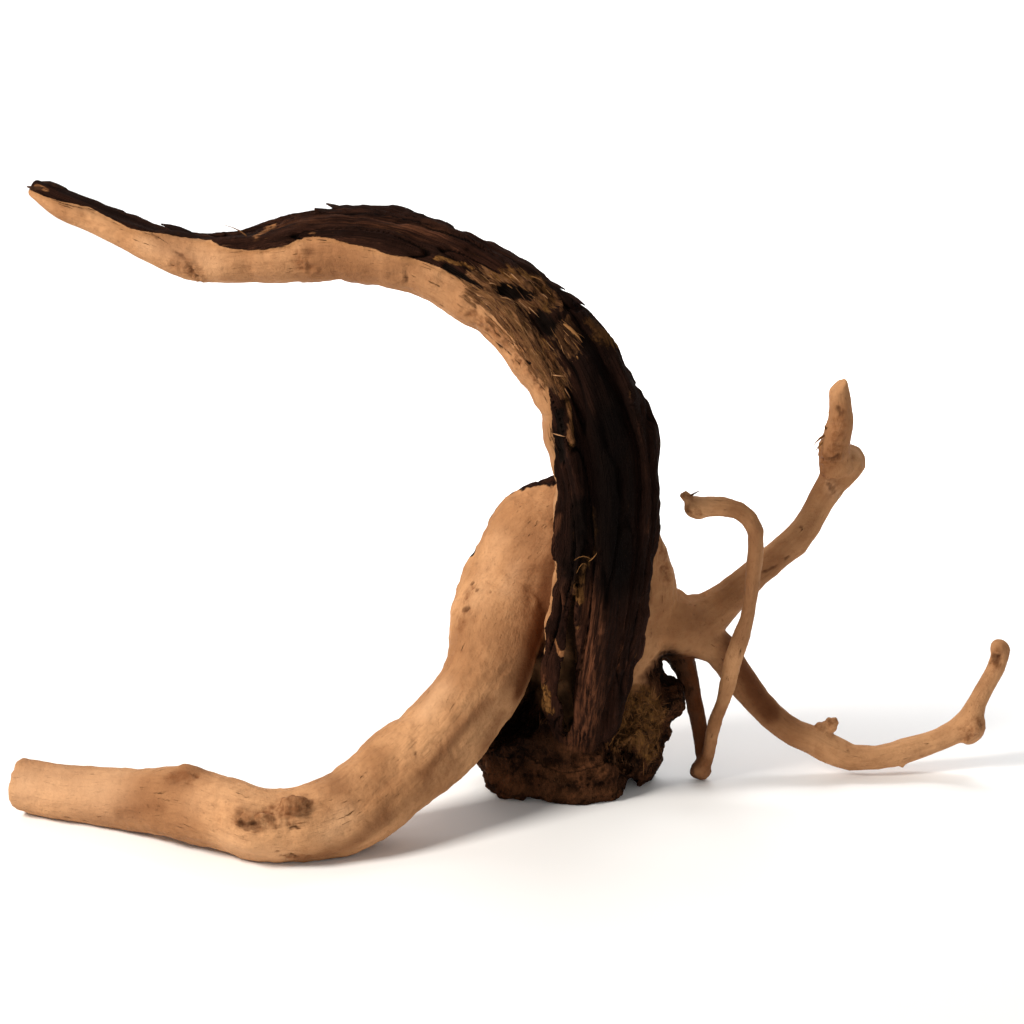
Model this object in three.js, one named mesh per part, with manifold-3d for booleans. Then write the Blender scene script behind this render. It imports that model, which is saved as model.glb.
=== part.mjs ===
// Piece of driftwood: a root crown with an arching slab and four limbs, grown as one body.
// Millimetres, +Z up. The length runs along X and the front looks towards -Y.
import * as THREE from 'three';
import Module from 'manifold-3d';

const wasm = await Module();
wasm.setup();

// Distance between rings along a limb and points round a ring, by the limb's size.
const SLAB_STEP = 6.2;
const SLAB_POINTS = 26;
const SLAB_FACE_SHARE = 0.66;
const CROWN_STEP = 11;
const CROWN_POINTS = 22;
const BASE_STEP = 6;
const BASE_POINTS = 30;
const TRUNK_STEP = 9;
const TRUNK_POINTS = 18;
const BRANCH_STEP = 8;
const BRANCH_POINTS = 11;
const TWIG_STEP = 8;
const TWIG_POINTS = 8;
const STUB_POINTS = 10;
const FINGER_POINTS = 7;
const KNOT_POINTS = 9;
const KNOT_LEVELS = 6;
const HOLLOW_STEP = 6;
const HOLLOW_POINTS = 12;

// Half the side of the block that cuts the underside level.
const GROUND_REACH = 400;

// Arching slab, from its foot in the base to its tip at the far left.
// Each row: x, y, z, half width, height of the dark face, depth of the pale back,
// then where the dark face looks: turned to the right and lifted, in degrees.
const ARCH = [
  [31, 22, 4, 10, 7, 10, 12, 0],
  [32, 13, 22, 13, 8, 12, 14, -8],
  [32.5, 5, 46, 17.5, 10, 14, 16, -8],
  [34, 0, 70, 21.5, 11, 15, 18, -6],
  [37.5, -4, 97, 22, 12, 16, 18, -4],
  [40, -7, 122, 22, 12, 16, 16, -2],
  [41, -8.5, 148, 23, 12, 15, 14, 0],
  [40, -8.5, 170, 23.5, 12, 15, 12, 4],
  [34.5, -7.5, 190, 23, 12, 15, 10, 12],
  [26.3, -4.5, 206, 21.5, 12, 15, 12, 24],
  [16, -0.5, 218, 20.5, 12, 15, 15, 36],
  [6, 4, 228, 20.3, 12.5, 15, 16, 48],
  [-4, 8, 236, 20.5, 13, 15, 14, 57],
  [-18, 13, 243.5, 20, 13, 16, 10, 62],
  [-33, 17, 250, 19.5, 12.5, 16, 6, 65],
  [-50, 21, 254.5, 19, 12.5, 15.5, 3, 68],
  [-68, 24.5, 256, 18, 13, 15.5, 0, 70],
  [-88, 28, 254, 16.5, 12, 14.5, 0, 74],
  [-108, 31, 250.5, 14.5, 9.5, 13, 0, 76],
  [-126, 33, 248, 12.5, 8, 11.5, 0, 80],
  [-142, 35, 248.5, 11, 7.5, 10.5, 0, 82],
  [-157, 36, 253, 9.5, 6, 8.5, 0, 82],
  [-173, 38, 260, 8.5, 4.5, 7, 0, 80],
  [-185, 39, 265, 8, 4.5, 6.5, 0, 76],
  [-197, 40, 270, 7.5, 4.2, 6.5, 0, 74],
  [-206, 41, 274.5, 6, 3.2, 4.5, 0, 74],
  [-211.5, 41.5, 277.5, 4.5, 2.2, 2.5, 0, 74],
];

// Flutes running along the dark face. Each has a rise (a groove is negative), a width,
// and rows of where it lies: share of the slab's length, share of the half width.
const FLUTES = [
  { rise: 3.2, wide: 3.6, path: [[0.06, -0.12], [0.2, -0.18], [0.3, 0.0], [0.4, 0.05]] },
  { rise: 2.4, wide: 3.0, path: [[0.08, 0.2], [0.18, 0.18], [0.28, 0.3], [0.42, 0.25]] },
  { rise: -2.6, wide: 2.6, path: [[0.04, 0.42], [0.16, 0.46], [0.3, 0.5], [0.4, 0.45]] },
  { rise: 2.2, wide: 3.0, path: [[0.05, 0.68], [0.2, 0.7], [0.35, 0.72], [0.46, 0.7]] },
  { rise: 2.6, wide: 3.2, path: [[0.1, -0.78], [0.24, -0.72], [0.36, -0.66], [0.5, -0.6]] },
  { rise: -3.0, wide: 3.0, path: [[0.2, -0.4], [0.3, -0.34], [0.42, -0.3], [0.52, -0.4]] },
  { rise: 2.0, wide: 3.0, path: [[0.42, 0.1], [0.52, 0.2], [0.62, 0.1], [0.74, 0.1]] },
  { rise: -2.2, wide: 2.8, path: [[0.44, 0.5], [0.56, 0.55], [0.68, 0.4], [0.82, 0.4]] },
  { rise: 1.8, wide: 2.6, path: [[0.5, -0.5], [0.62, -0.45], [0.74, -0.5], [0.88, -0.4]] },
  { rise: 1.6, wide: 2.4, path: [[0.52, 0.85], [0.66, 0.8], [0.78, 0.75], [0.9, 0.7]] },
];

// Root crown: a thick pale plate standing behind the slab.
// Each row: x, y, z, half width, front depth, back depth.
const CROWN = [
  [31, 35, 20, 30, 14, 16],
  [30, 35, 36, 35, 14, 20],
  [25, 34, 50, 43, 18, 23],
  [23.5, 34, 66, 49.5, 22, 25],
  [25, 33.5, 82, 51.5, 25, 25],
  [26, 32.5, 95, 51, 24, 24],
  [28, 32, 108, 47.5, 23, 22],
  [30, 31.5, 120, 42.5, 21, 20],
  [32, 31, 131, 35.5, 18, 17],
  [33.5, 31, 141, 27, 14, 13],
  [33, 31, 147.5, 19, 9, 9],
  [32, 31, 151, 10, 4, 5],
];

// Left root: out of the crown, down and forward, then along the ground to a sawn end.
// Each row: x, y, z, half width, half height.
const LEFT_ROOT = [
  [14, 36, 118, 14, 12],
  [4, 32, 104, 21, 18],
  [-3, 24, 89, 24, 22],
  [-7, 14, 77, 22.5, 22],
  [-10, 6, 67, 20.5, 20],
  [-20, -7, 51, 18.5, 18],
  [-37, -21, 37, 19, 18],
  [-55, -34, 26, 18.5, 18.5],
  [-72, -45, 17.5, 18.5, 18.5],
  [-94, -53, 14.5, 17, 18.5],
  [-110.5, -53, 14.5, 17, 18.5],
  [-127.5, -47, 16.5, 16, 16.5],
  [-143.5, -38, 17.5, 16, 15.5],
  [-160, -29, 15, 14, 14],
  [-182, -18.5, 12.5, 13, 12.5],
  [-205, -10.5, 11, 13, 12.5],
  [-222.5, -4.5, 12, 12, 12],
];

// Neck and upper right limb, up to the burl. Each row: x, y, z, radius.
const UPPER_LIMB = [
  [52, 38, 78, 22],
  [68, 42, 74, 17],
  [82, 44.5, 71.5, 13.5],
  [92.5, 45.5, 76.5, 10.6],
  [101.5, 47.5, 84, 8.6],
  [111, 49.5, 93, 7.4],
  [122.5, 51.5, 102.5, 7],
  [130.5, 52.5, 109, 7.6],
  [136, 53.5, 116.5, 6.6],
  [142, 55.5, 128, 6.2],
  [147, 56.5, 136, 7],
  [151.5, 57, 144, 9],
];

// Cut stub standing on the burl.
const STUB = [
  [149, 53, 144, 8.5],
  [147, 50, 153, 7.6],
  [147.5, 47.5, 160, 7],
  [149, 44.5, 170, 6.2],
  [148, 41.5, 180, 5.4],
  [146.5, 39.5, 187.5, 4.6],
];

// Lower right limb, down to the ground and out to its upturned end.
const LOWER_LIMB = [
  [74, 44, 70, 14],
  [88, 45, 65.5, 11],
  [97.2, 44.5, 58.5, 8.7],
  [103, 43.5, 49.5, 7.6],
  [109, 42.5, 41, 7.1],
  [115, 41.5, 33.5, 6.4],
  [121.5, 40.5, 26.5, 6.4],
  [131.5, 38.5, 19.8, 6.2],
  [140.5, 37.5, 16.6, 6.6],
  [148.5, 36.5, 12.6, 6.8],
  [158.5, 35.5, 8.4, 6.2],
  [170, 35.5, 8.2, 5.8],
  [183, 37.5, 11, 6.2],
  [196, 39.5, 14.2, 5.6],
  [207.5, 40.5, 19.2, 5.8],
  [214.5, 41.5, 25, 6.2],
  [217, 42.5, 33, 4.4],
  [220.5, 43.5, 40, 4],
  [225.2, 44.5, 49, 4],
  [227.2, 45.3, 56, 4.2],
  [226, 45.5, 61, 3],
];

// Hooked twig, from its foot on the ground up and over to its broken tip.
const TWIG = [
  [88, 29.5, 2.4, 4],
  [88.2, 29.5, 6, 5],
  [91.2, 28.5, 13, 3.3],
  [92.5, 26.5, 24.5, 3.2],
  [94, 24.5, 33, 3.2],
  [96.8, 22.5, 41.5, 3.3],
  [98.5, 20.5, 50, 3.9],
  [101, 17.5, 65.5, 4],
  [103.4, 16.5, 74, 4.1],
  [106.2, 15.5, 84.5, 3.3],
  [107.4, 14.5, 93, 3.2],
  [108, 13.5, 100, 3.6],
  [108.1, 12.5, 108, 3.8],
  [109, 11.5, 120, 3.9],
  [108.6, 10.5, 128, 4.2],
  [105.2, 9.5, 134.5, 4.4],
  [100.2, 8.5, 138.6, 4.4],
  [93, 7.5, 140.6, 4.8],
  [86.8, 6.5, 141, 4.7],
  [82, 5.5, 140.4, 5.2],
];

// Short finger at the twig's tip.
const FINGER = [
  [82, 5.5, 141, 4.2],
  [78.6, 5.5, 144.6, 2.4],
  [75, 5.5, 147.4, 1.7],
];

// Back root: from under the neck down to the foot of the twig.
const BACK_ROOT = [
  [70, 44, 66, 9],
  [77.5, 45.5, 56, 6.6],
  [82.5, 44.5, 44, 4.8],
  [84.8, 43.5, 35, 4.2],
  [86.5, 40.5, 27.5, 4.4],
  [88.2, 36.5, 18.5, 4],
  [88.8, 32, 10, 3.4],
  [88.4, 30, 5, 3],
];

// Dark crumbling root plate under the crown.
// Each row: x, y, z, half width, front depth, back depth.
const BASE = [
  [31, 24, -6, 21, 24, 22],
  [31, 24, 0, 23, 25, 24],
  [30, 25, 4, 28.5, 25.5, 25],
  [29, 26, 8, 32.5, 26, 25],
  [24.5, 27, 12, 39, 26, 25],
  [24, 27.5, 17, 43.5, 25, 25],
  [26, 28, 23, 44.5, 22, 26],
  [32, 30, 30, 41.5, 18, 25],
  [36.5, 33, 37, 40, 14, 22],
  [38.5, 35, 44, 37, 12, 20],
  [39, 36, 52, 33, 14, 20],
  [39, 37, 60, 31, 14, 18],
];

// Knots, burls and the cut knobs: x, y, z, half sizes, then turns about x, y and z in degrees.
const KNOTS = [
  [-115, -64, 22, 6.5, 4, 4.5, 0, 10, 0],
  [-94, -64, 27, 7, 4.5, 4.5, 0, -10, 0],
  [-104, -64, 25, 12, 4, 3.2, 0, -14, 0],
  [-142, -38, 28, 10, 8, 8, 0, 0, -20],
  [152, 57, 145.5, 10.6, 9.5, 9.5, 0, -30, 0],
  [148.5, 37, 24, 3.4, 3.2, 3.4, 0, 0, 0],
  [144.5, 36.5, 22.5, 3, 3, 4, 0, -20, 0],
  [214.5, 39.5, 21.5, 7, 6, 8.4, 0, 20, 0],
  [226.8, 45.3, 58.5, 4.8, 4.6, 5.2, 0, -20, 0],
  [81.5, 5.4, 141, 5.4, 5, 5.2, 0, 0, 0],
  [88, 29.6, 5, 5.4, 5, 5.2, 0, 0, 0],
  [71, 35, 37, 9.5, 13, 12, 0, 20, 0],
];

// Ragged flakes and splinters: root point, tip point, width and thickness at the root.
const FLAKES = [
  [[-76, 27, 262], [-87, 25, 272], 9, 3],
  [[-148, 36, 253], [-160, 33, 260], 7, 2.6],
  [[21, 2, 225], [31, -1, 234.5], 11, 3],
  [[-118, 32, 251], [-128, 29, 261], 4, 1.8],
  [[-112, 28, 250], [-122, 24, 259], 3.6, 1.6],
  [[143, 49, 153], [138.5, 46, 160], 5, 2.4],
  [[79, 5, 144], [76.5, 5, 150], 2.6, 2],
];

// Hollows cut into the body. Each is a row of x, y, z, half width, half depth.
const SLAB_GROOVE = [
  [28, -18, 124, 1.6, 3],
  [27, -15, 106, 3, 6],
  [25.5, -11, 88, 4.2, 9],
  [25, -6, 70, 5.2, 12],
  [25, 1, 54, 5.6, 13],
  [25.5, 8, 42, 5.2, 12],
  [26, 13, 35, 3, 7],
];
const LEFT_CAVE = [
  [16, 6, 68, 3, 10],
  [12, 10, 57, 6.5, 18],
  [7, 14, 46, 9.5, 23],
  [0, 14, 37, 10, 22],
  [-7, 13, 30, 7, 15],
  [-13, 12, 26, 3, 8],
];

// Rounded hollows: the knot eye in the slab, a rot pocket beside its foot, and the arch
// eaten out under the base.
const POCKETS = [
  [7, -9, 239, 8, 6, 4.5, 0, 25, 0],
  [16, -15, 228, 4.5, 5, 6, 0, 20, 0],
  [57, 5, 33, 5, 6, 4, 0, 0, 0],
  [36, 38, -5, 17, 9, 12, 0, 0, 8],
];

const TURN = Math.PI / 180;

// A direction from a turn to the right of the front and a lift above the ground.
function lookingTo(turn, lift) {
  const flat = Math.cos(lift * TURN);
  return new THREE.Vector3(
    Math.sin(turn * TURN) * flat,
    -Math.cos(turn * TURN) * flat,
    Math.sin(lift * TURN),
  );
}

// A smooth line through three values picked from every row.
function smoothLine(rows, pick, kind) {
  const points = rows.map((row) => new THREE.Vector3(...pick(row)));
  return new THREE.CatmullRomCurve3(points, false, kind, 0.5);
}

// Slow swelling and pinching of a ring, so that no limb is a plain tube.
function unevenness(angle, along, seed) {
  return (
    1 +
    0.045 * Math.sin(2 * angle + along / 21 + seed) +
    0.03 * Math.sin(3 * angle - along / 15 + 2 * seed) +
    0.022 * Math.sin(along / 6.5 + 3 * seed + angle)
  );
}

// A skin over rings of corners, closed by a fan at either end.
function closedSkin(rings, points) {
  const corners = [];
  const faces = [];
  for (const ring of rings) {
    for (const corner of ring) corners.push(corner.x, corner.y, corner.z);
  }
  for (let i = 0; i + 1 < rings.length; i += 1) {
    for (let j = 0; j < points; j += 1) {
      const next = (j + 1) % points;
      const a = i * points + j;
      const b = i * points + next;
      const c = (i + 1) * points + next;
      const d = (i + 1) * points + j;
      faces.push(a, d, b, b, d, c);
    }
  }
  const ends = [rings[0], rings[rings.length - 1]];
  ends.forEach((ring, end) => {
    const middle = new THREE.Vector3();
    ring.forEach((corner) => middle.add(corner));
    middle.divideScalar(points);
    const hub = corners.length / 3;
    corners.push(middle.x, middle.y, middle.z);
    const start = end === 0 ? 0 : (rings.length - 1) * points;
    for (let j = 0; j < points; j += 1) {
      const next = (j + 1) % points;
      if (end === 0) faces.push(hub, start + j, start + next);
      else faces.push(hub, start + next, start + j);
    }
  });
  const geometry = new THREE.BufferGeometry();
  geometry.setAttribute('position', new THREE.Float32BufferAttribute(corners, 3));
  geometry.setIndex(faces);
  return geometry;
}

// A limb skinned over rings set square to a smooth spine.
// shape(angle, along, share, size) gives the point of a ring as [across, outward].
function limb({ rows, sizes, facing, step, points, shape, slant, spread }) {
  const spine = smoothLine(rows, (row) => row.slice(0, 3), 'centripetal');
  const girth = smoothLine(rows, sizes, 'catmullrom');
  const looks = smoothLine(rows, (row) => facing(row).toArray(), 'catmullrom');
  const rings = [];
  let along = 0;
  let last = null;
  const stations = [];
  rows.forEach((row, k) => {
    if (k === rows.length - 1) return;
    const from = new THREE.Vector3(...row.slice(0, 3));
    const span = from.distanceTo(new THREE.Vector3(...rows[k + 1].slice(0, 3)));
    const parts = Math.max(1, Math.round(span / step));
    for (let m = 0; m < parts; m += 1) stations.push((k + m / parts) / (rows.length - 1));
  });
  stations.push(1);
  for (const share of stations) {
    const middle = spine.getPoint(share);
    const ahead = spine.getTangent(share).normalize();
    const look = looks.getPoint(share);
    look.addScaledVector(ahead, -look.dot(ahead)).normalize();
    const side = new THREE.Vector3().crossVectors(ahead, look).normalize();
    if (last) along += middle.distanceTo(last);
    last = middle;
    const size = girth.getPoint(share);
    const ring = [];
    for (let j = 0; j < points; j += 1) {
      const angle = spread ? spread(j / points) : (j / points) * 2 * Math.PI;
      const [across, outward] = shape(angle, along, share, size);
      const corner = middle.clone();
      corner.addScaledVector(side, across).addScaledVector(look, outward);
      if (slant && share === 1) corner.addScaledVector(ahead, across * slant);
      ring.push(corner);
    }
    rings.push(ring);
  }
  return closedSkin(rings, points);
}

// A round limb with slow swellings. Its end is square unless it has a slant.
function roundLimb(rows, step, points, seed, slant) {
  return limb({
    rows,
    sizes: (row) => [row[3], row[4] ?? row[3], 0],
    facing: () => new THREE.Vector3(0, -0.95, 0.31),
    step,
    points,
    slant,
    shape: (angle, along, share, size) => {
      const swell = unevenness(angle, along, seed);
      return [size.x * Math.cos(angle) * swell, size.y * Math.sin(angle) * swell];
    },
  });
}

// An upright mass given by half width, front depth and back depth. A square value under 1
// fills out the corners of its rings.
function mass(rows, step, points, seed, rough, square) {
  const squared = (value) => Math.sign(value) * Math.abs(value) ** square;
  return limb({
    rows,
    sizes: (row) => [row[3], row[4], row[5]],
    facing: () => new THREE.Vector3(0, -1, 0),
    step,
    points,
    shape: (angle, along, share, size) => {
      const depth = Math.sin(angle) > 0 ? size.y : size.z;
      const swell =
        unevenness(angle, along, seed) +
        rough * Math.sin(7 * angle + along / 5 + seed) +
        rough * Math.sin(11 * angle - along / 3.5) * Math.sin(along / 4);
      return [size.x * squared(Math.cos(angle)) * swell, depth * squared(Math.sin(angle)) * swell];
    },
  });
}

// Where a flute lies across the slab at a share of its length, and how strong it is there.
function fluteAt(flute, share) {
  const { path } = flute;
  const first = path[0][0];
  const end = path[path.length - 1][0];
  if (share < first || share > end) return null;
  const next = path.findIndex(([at]) => at >= share);
  const [from, to] = [path[Math.max(0, next - 1)], path[Math.max(1, next)]];
  const mix = (share - from[0]) / Math.max(1e-6, to[0] - from[0]);
  const fade = Math.min(1, (share - first) / 0.05, (end - share) / 0.05);
  return { across: from[1] + (to[1] - from[1]) * mix, strength: fade };
}

// Angles round a slab ring: most of the points are spent on the fluted face.
function slabAngle(share) {
  if (share <= SLAB_FACE_SHARE) return (share / SLAB_FACE_SHARE) * Math.PI;
  return Math.PI * (1 + (share - SLAB_FACE_SHARE) / (1 - SLAB_FACE_SHARE));
}

// The slab: a crowned, fluted dark face on a round pale back, with ragged edges.
function archSlab() {
  return limb({
    spread: slabAngle,
    rows: ARCH,
    sizes: (row) => [row[3], row[4], row[5]],
    facing: (row) => lookingTo(row[6], row[7]),
    step: SLAB_STEP,
    points: SLAB_POINTS,
    shape: (angle, along, share, size) => {
      const front = Math.sin(angle) > 0;
      const lean = Math.abs(Math.cos(angle)) ** 0.86 * Math.sign(Math.cos(angle));
      const edge =
        0.035 * Math.sin(along / 7 + 1) + 0.028 * Math.sin(along / 3.1 + 2 * Math.sign(lean));
      const across = size.x * lean * (1 + edge);
      if (!front) {
        const bulge = 1 + 0.05 * Math.sin(along / 18 + 2 * angle);
        return [across, size.z * Math.sin(angle) * bulge];
      }
      let outward = size.y * Math.sin(angle) ** 0.8;
      const middle = Math.sin(angle) ** 0.6;
      for (const flute of FLUTES) {
        const at = fluteAt(flute, share);
        if (!at) continue;
        const off = (across - at.across * size.x) / flute.wide;
        outward += flute.rise * at.strength * Math.exp(-off * off) * middle;
      }
      outward += 0.5 * Math.sin(across / 1.9 + along / 37) * middle;
      return [across, outward];
    },
  });
}

// A rounded lump with an uneven skin.
function knot([x, y, z, a, b, c, turnX, turnY, turnZ]) {
  const rings = [];
  for (let i = 0; i < KNOT_LEVELS; i += 1) {
    const rise = ((i + 0.5) / KNOT_LEVELS) * Math.PI;
    const ring = [];
    for (let j = 0; j < KNOT_POINTS; j += 1) {
      const angle = (j / KNOT_POINTS) * 2 * Math.PI;
      const swell = 1 + 0.07 * Math.sin(2 * angle + x + i) + 0.05 * Math.sin(3 * angle + z);
      ring.push(new THREE.Vector3(
        a * Math.sin(rise) * Math.cos(angle) * swell,
        -b * Math.sin(rise) * Math.sin(angle) * swell,
        -c * Math.cos(rise),
      ));
    }
    rings.push(ring);
  }
  const geometry = closedSkin(rings, KNOT_POINTS);
  geometry.rotateX(turnX * TURN).rotateY(turnY * TURN).rotateZ(turnZ * TURN);
  return geometry.translate(x, y, z);
}

// A four-sided splinter that tapers from its root to a near point.
function flake([root, tip, wide, thick]) {
  const from = new THREE.Vector3(...root);
  const to = new THREE.Vector3(...tip);
  const ahead = to.clone().sub(from).normalize();
  const side = new THREE.Vector3().crossVectors(ahead, new THREE.Vector3(0, 1, 0)).normalize();
  const up = new THREE.Vector3().crossVectors(side, ahead);
  const rings = [[0, 1], [0.45, 0.72], [0.8, 0.3], [1, 0.12]].map(([share, taper], i) => {
    const middle = from.clone().lerp(to, share).addScaledVector(side, i === 1 ? wide * 0.08 : 0);
    return [[1, 0], [0, 1], [-1, 0], [0, -1]].map(([s, u]) => middle.clone()
      .addScaledVector(side, s * taper * wide * 0.5)
      .addScaledVector(up, u * taper * thick * 0.5));
  });
  return closedSkin(rings, 4);
}

// A hollow's cutting body, wide enough at its mouth to open through the skin.
function hollow(rows) {
  return limb({
    rows,
    sizes: (row) => [row[3], row[4], 0],
    facing: () => new THREE.Vector3(0, -1, 0),
    step: HOLLOW_STEP,
    points: HOLLOW_POINTS,
    shape: (angle, along, share, size) => {
      const swell = 1 + 0.1 * Math.sin(3 * angle + along / 5);
      return [size.x * Math.cos(angle) * swell, size.y * Math.sin(angle) * swell];
    },
  });
}

// A geometry as a solid that can be joined and cut.
function solid(geometry) {
  const mesh = new wasm.Mesh({
    numProp: 3,
    vertProperties: new Float32Array(geometry.getAttribute('position').array),
    triVerts: new Uint32Array(geometry.getIndex().array),
  });
  mesh.merge();
  return new wasm.Manifold(mesh);
}

// A joined solid back as a geometry.
function geometryOf(body) {
  const mesh = body.getMesh();
  const geometry = new THREE.BufferGeometry();
  const corners = new THREE.BufferAttribute(new Float32Array(mesh.vertProperties), 3);
  geometry.setAttribute('position', corners);
  geometry.setIndex(new THREE.BufferAttribute(new Uint32Array(mesh.triVerts), 1));
  return geometry;
}

// Everything below the ground, so that the wood rests on small flat spots.
function groundBlock() {
  const level = (z) => [
    new THREE.Vector3(GROUND_REACH, GROUND_REACH, z),
    new THREE.Vector3(GROUND_REACH, -GROUND_REACH, z),
    new THREE.Vector3(-GROUND_REACH, -GROUND_REACH, z),
    new THREE.Vector3(-GROUND_REACH, GROUND_REACH, z),
  ];
  return closedSkin([level(-60), level(0)], 4);
}

// The whole piece, centred over the middle of its outline.
function driftwood() {
  const grown = [
    archSlab(),
    mass(CROWN, CROWN_STEP, CROWN_POINTS, 0.4, 0.01, 1),
    mass(BASE, BASE_STEP, BASE_POINTS, 1.7, 0.028, 0.78),
    roundLimb(LEFT_ROOT, TRUNK_STEP, TRUNK_POINTS, 2.1, 0.1),
    roundLimb(UPPER_LIMB, BRANCH_STEP, BRANCH_POINTS, 0.9),
    roundLimb(STUB, BRANCH_STEP, STUB_POINTS, 3.3, 0.55),
    roundLimb(LOWER_LIMB, BRANCH_STEP, BRANCH_POINTS, 4.2),
    roundLimb(TWIG, TWIG_STEP, TWIG_POINTS, 5.1),
    roundLimb(FINGER, TWIG_STEP, FINGER_POINTS, 1.1),
    roundLimb(BACK_ROOT, TWIG_STEP, TWIG_POINTS, 2.6),
    ...KNOTS.map(knot),
    ...FLAKES.map(flake),
  ].map(solid);
  const hollows = [hollow(SLAB_GROOVE), hollow(LEFT_CAVE), ...POCKETS.map(knot)].map(solid);
  const eaten = wasm.Manifold.union(grown).subtract(wasm.Manifold.union(hollows));
  const geometry = geometryOf(eaten.subtract(solid(groundBlock())));
  geometry.computeBoundingBox();
  const box = geometry.boundingBox;
  geometry.translate(-(box.min.x + box.max.x) / 2, -(box.min.y + box.max.y) / 2, 0);
  return geometry;
}

const wood = new THREE.MeshStandardMaterial({
  name: 'weathered_wood',
  color: new THREE.Color('#b98a5f'),
  roughness: 0.82,
  metalness: 0,
});

const mesh = new THREE.Mesh(driftwood(), wood);
mesh.name = 'driftwood';

const part = new THREE.Group();
part.name = 'driftwood_part';
part.add(mesh);

export default part;
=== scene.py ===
"""A weathered piece of driftwood standing on a pale studio floor.

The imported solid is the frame. It is replaced by one grown skin in four parts, with the grain,
bark, rot and torn fibre of a real root, and by the loose splinters on its torn places.
"""

import logging
import math
from dataclasses import dataclass, field
from enum import Enum

import bmesh
import bpy
import numpy as np
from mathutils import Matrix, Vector

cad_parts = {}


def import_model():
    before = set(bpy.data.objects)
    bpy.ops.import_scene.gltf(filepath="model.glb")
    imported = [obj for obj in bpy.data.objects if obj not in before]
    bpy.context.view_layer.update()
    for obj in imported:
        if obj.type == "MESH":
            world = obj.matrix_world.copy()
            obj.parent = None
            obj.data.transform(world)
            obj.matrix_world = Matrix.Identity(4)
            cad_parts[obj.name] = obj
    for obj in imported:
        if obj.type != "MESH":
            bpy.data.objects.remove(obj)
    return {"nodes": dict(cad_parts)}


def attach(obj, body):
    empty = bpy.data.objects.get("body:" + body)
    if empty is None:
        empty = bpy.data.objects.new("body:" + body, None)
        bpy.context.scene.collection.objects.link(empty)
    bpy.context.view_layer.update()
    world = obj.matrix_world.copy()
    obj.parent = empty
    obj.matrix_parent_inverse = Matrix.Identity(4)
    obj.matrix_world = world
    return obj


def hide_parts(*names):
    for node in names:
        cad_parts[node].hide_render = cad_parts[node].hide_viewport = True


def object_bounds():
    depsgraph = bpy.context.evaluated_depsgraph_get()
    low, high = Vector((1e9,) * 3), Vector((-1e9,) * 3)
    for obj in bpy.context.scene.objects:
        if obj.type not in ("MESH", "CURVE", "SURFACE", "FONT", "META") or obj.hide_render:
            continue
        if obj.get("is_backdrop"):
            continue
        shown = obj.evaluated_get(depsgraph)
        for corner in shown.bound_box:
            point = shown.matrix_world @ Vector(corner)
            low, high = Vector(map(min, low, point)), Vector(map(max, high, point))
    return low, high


LOG = logging.getLogger("driftwood")
MM = 0.001
FAR = 1e9
# Middle of the piece's outline in the maker's drawing, in mm. The row frame has it at zero.
MIDDLE = np.array([2.85, -3.13, 0.0])


class Limb(Enum):
    """The limbs that the grain follows."""

    SLAB = "slab"
    CROWN = "crown"
    LEFT_ROOT = "left root"
    UPPER_LIMB = "upper limb"
    STUB = "stub"
    LOWER_LIMB = "lower limb"
    TWIG = "twig"
    BACK_ROOT = "back root"


def looking_to(turn: float, lift: float) -> tuple[float, float, float]:
    """Gives the direction that a face looks in.

    Args:
        turn: Degrees to the right of the front.
        lift: Degrees above level.

    Returns:
        The direction as a unit vector.
    """
    flat = math.cos(math.radians(lift))
    side = math.radians(turn)
    return (math.sin(side) * flat, -math.cos(side) * flat, math.sin(math.radians(lift)))


def smooth_rows(rows: np.ndarray, parts: int) -> np.ndarray:
    """Draws a smooth line through rows of numbers.

    Args:
        rows: One row for each station.
        parts: How many steps to take between two stations.

    Returns:
        The rows of the smooth line.
    """
    ends = np.vstack([2 * rows[0] - rows[1], rows, 2 * rows[-1] - rows[-2]])
    share = np.linspace(0, 1, parts, endpoint=False)[:, None]
    pieces = []
    for a, b, c, d in zip(ends[:-3], ends[1:-2], ends[2:-1], ends[3:]):
        pieces.append(
            0.5
            * (
                2 * b
                + (c - a) * share
                + (2 * a - 5 * b + 4 * c - d) * share**2
                + (3 * b - a - 3 * c + d) * share**3
            )
        )
    return np.vstack([*pieces, rows[-1:]])


@dataclass(frozen=True)
class GrainLine:
    """The line that a limb's grain follows, with the limb's girth along it.

    Each row is x, y, z, half width, front height, back depth, and then the turn and lift
    in degrees of the way its front looks. Sizes are in mm, in the maker's drawing.
    """

    STEPS = 9
    limb: Limb
    rows: tuple[tuple[float, ...], ...]

    def samples(self) -> dict[str, np.ndarray]:
        """Gives points along the line with their directions and sizes.

        Returns:
            Arrays named at, ahead, side, face, size and along.
        """
        table = np.array([row[:6] + looking_to(*row[6:]) for row in self.rows])
        line = smooth_rows(table, self.STEPS)
        at = line[:, :3] - MIDDLE
        ahead = np.gradient(at, axis=0)
        ahead /= np.linalg.norm(ahead, axis=1)[:, None]
        face = line[:, 6:9]
        face = face - (face * ahead).sum(1)[:, None] * ahead
        face /= np.linalg.norm(face, axis=1)[:, None]
        steps = np.linalg.norm(np.diff(at, axis=0), axis=1)
        return {
            "at": at,
            "ahead": ahead,
            "side": np.cross(ahead, face),
            "face": face,
            "size": line[:, 3:6],
            "along": np.concatenate([[0.0], np.cumsum(steps)]),
        }


def full_rows(rows: tuple[tuple[float, ...], ...]) -> tuple[tuple[float, ...], ...]:
    """Fills rows of x, y, z and radius out to full rows that look to the front."""
    front = (0.0, 18.0)
    return tuple(row if len(row) > 4 else (*row[:3], *(row[3],) * 3, *front) for row in rows)


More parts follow.
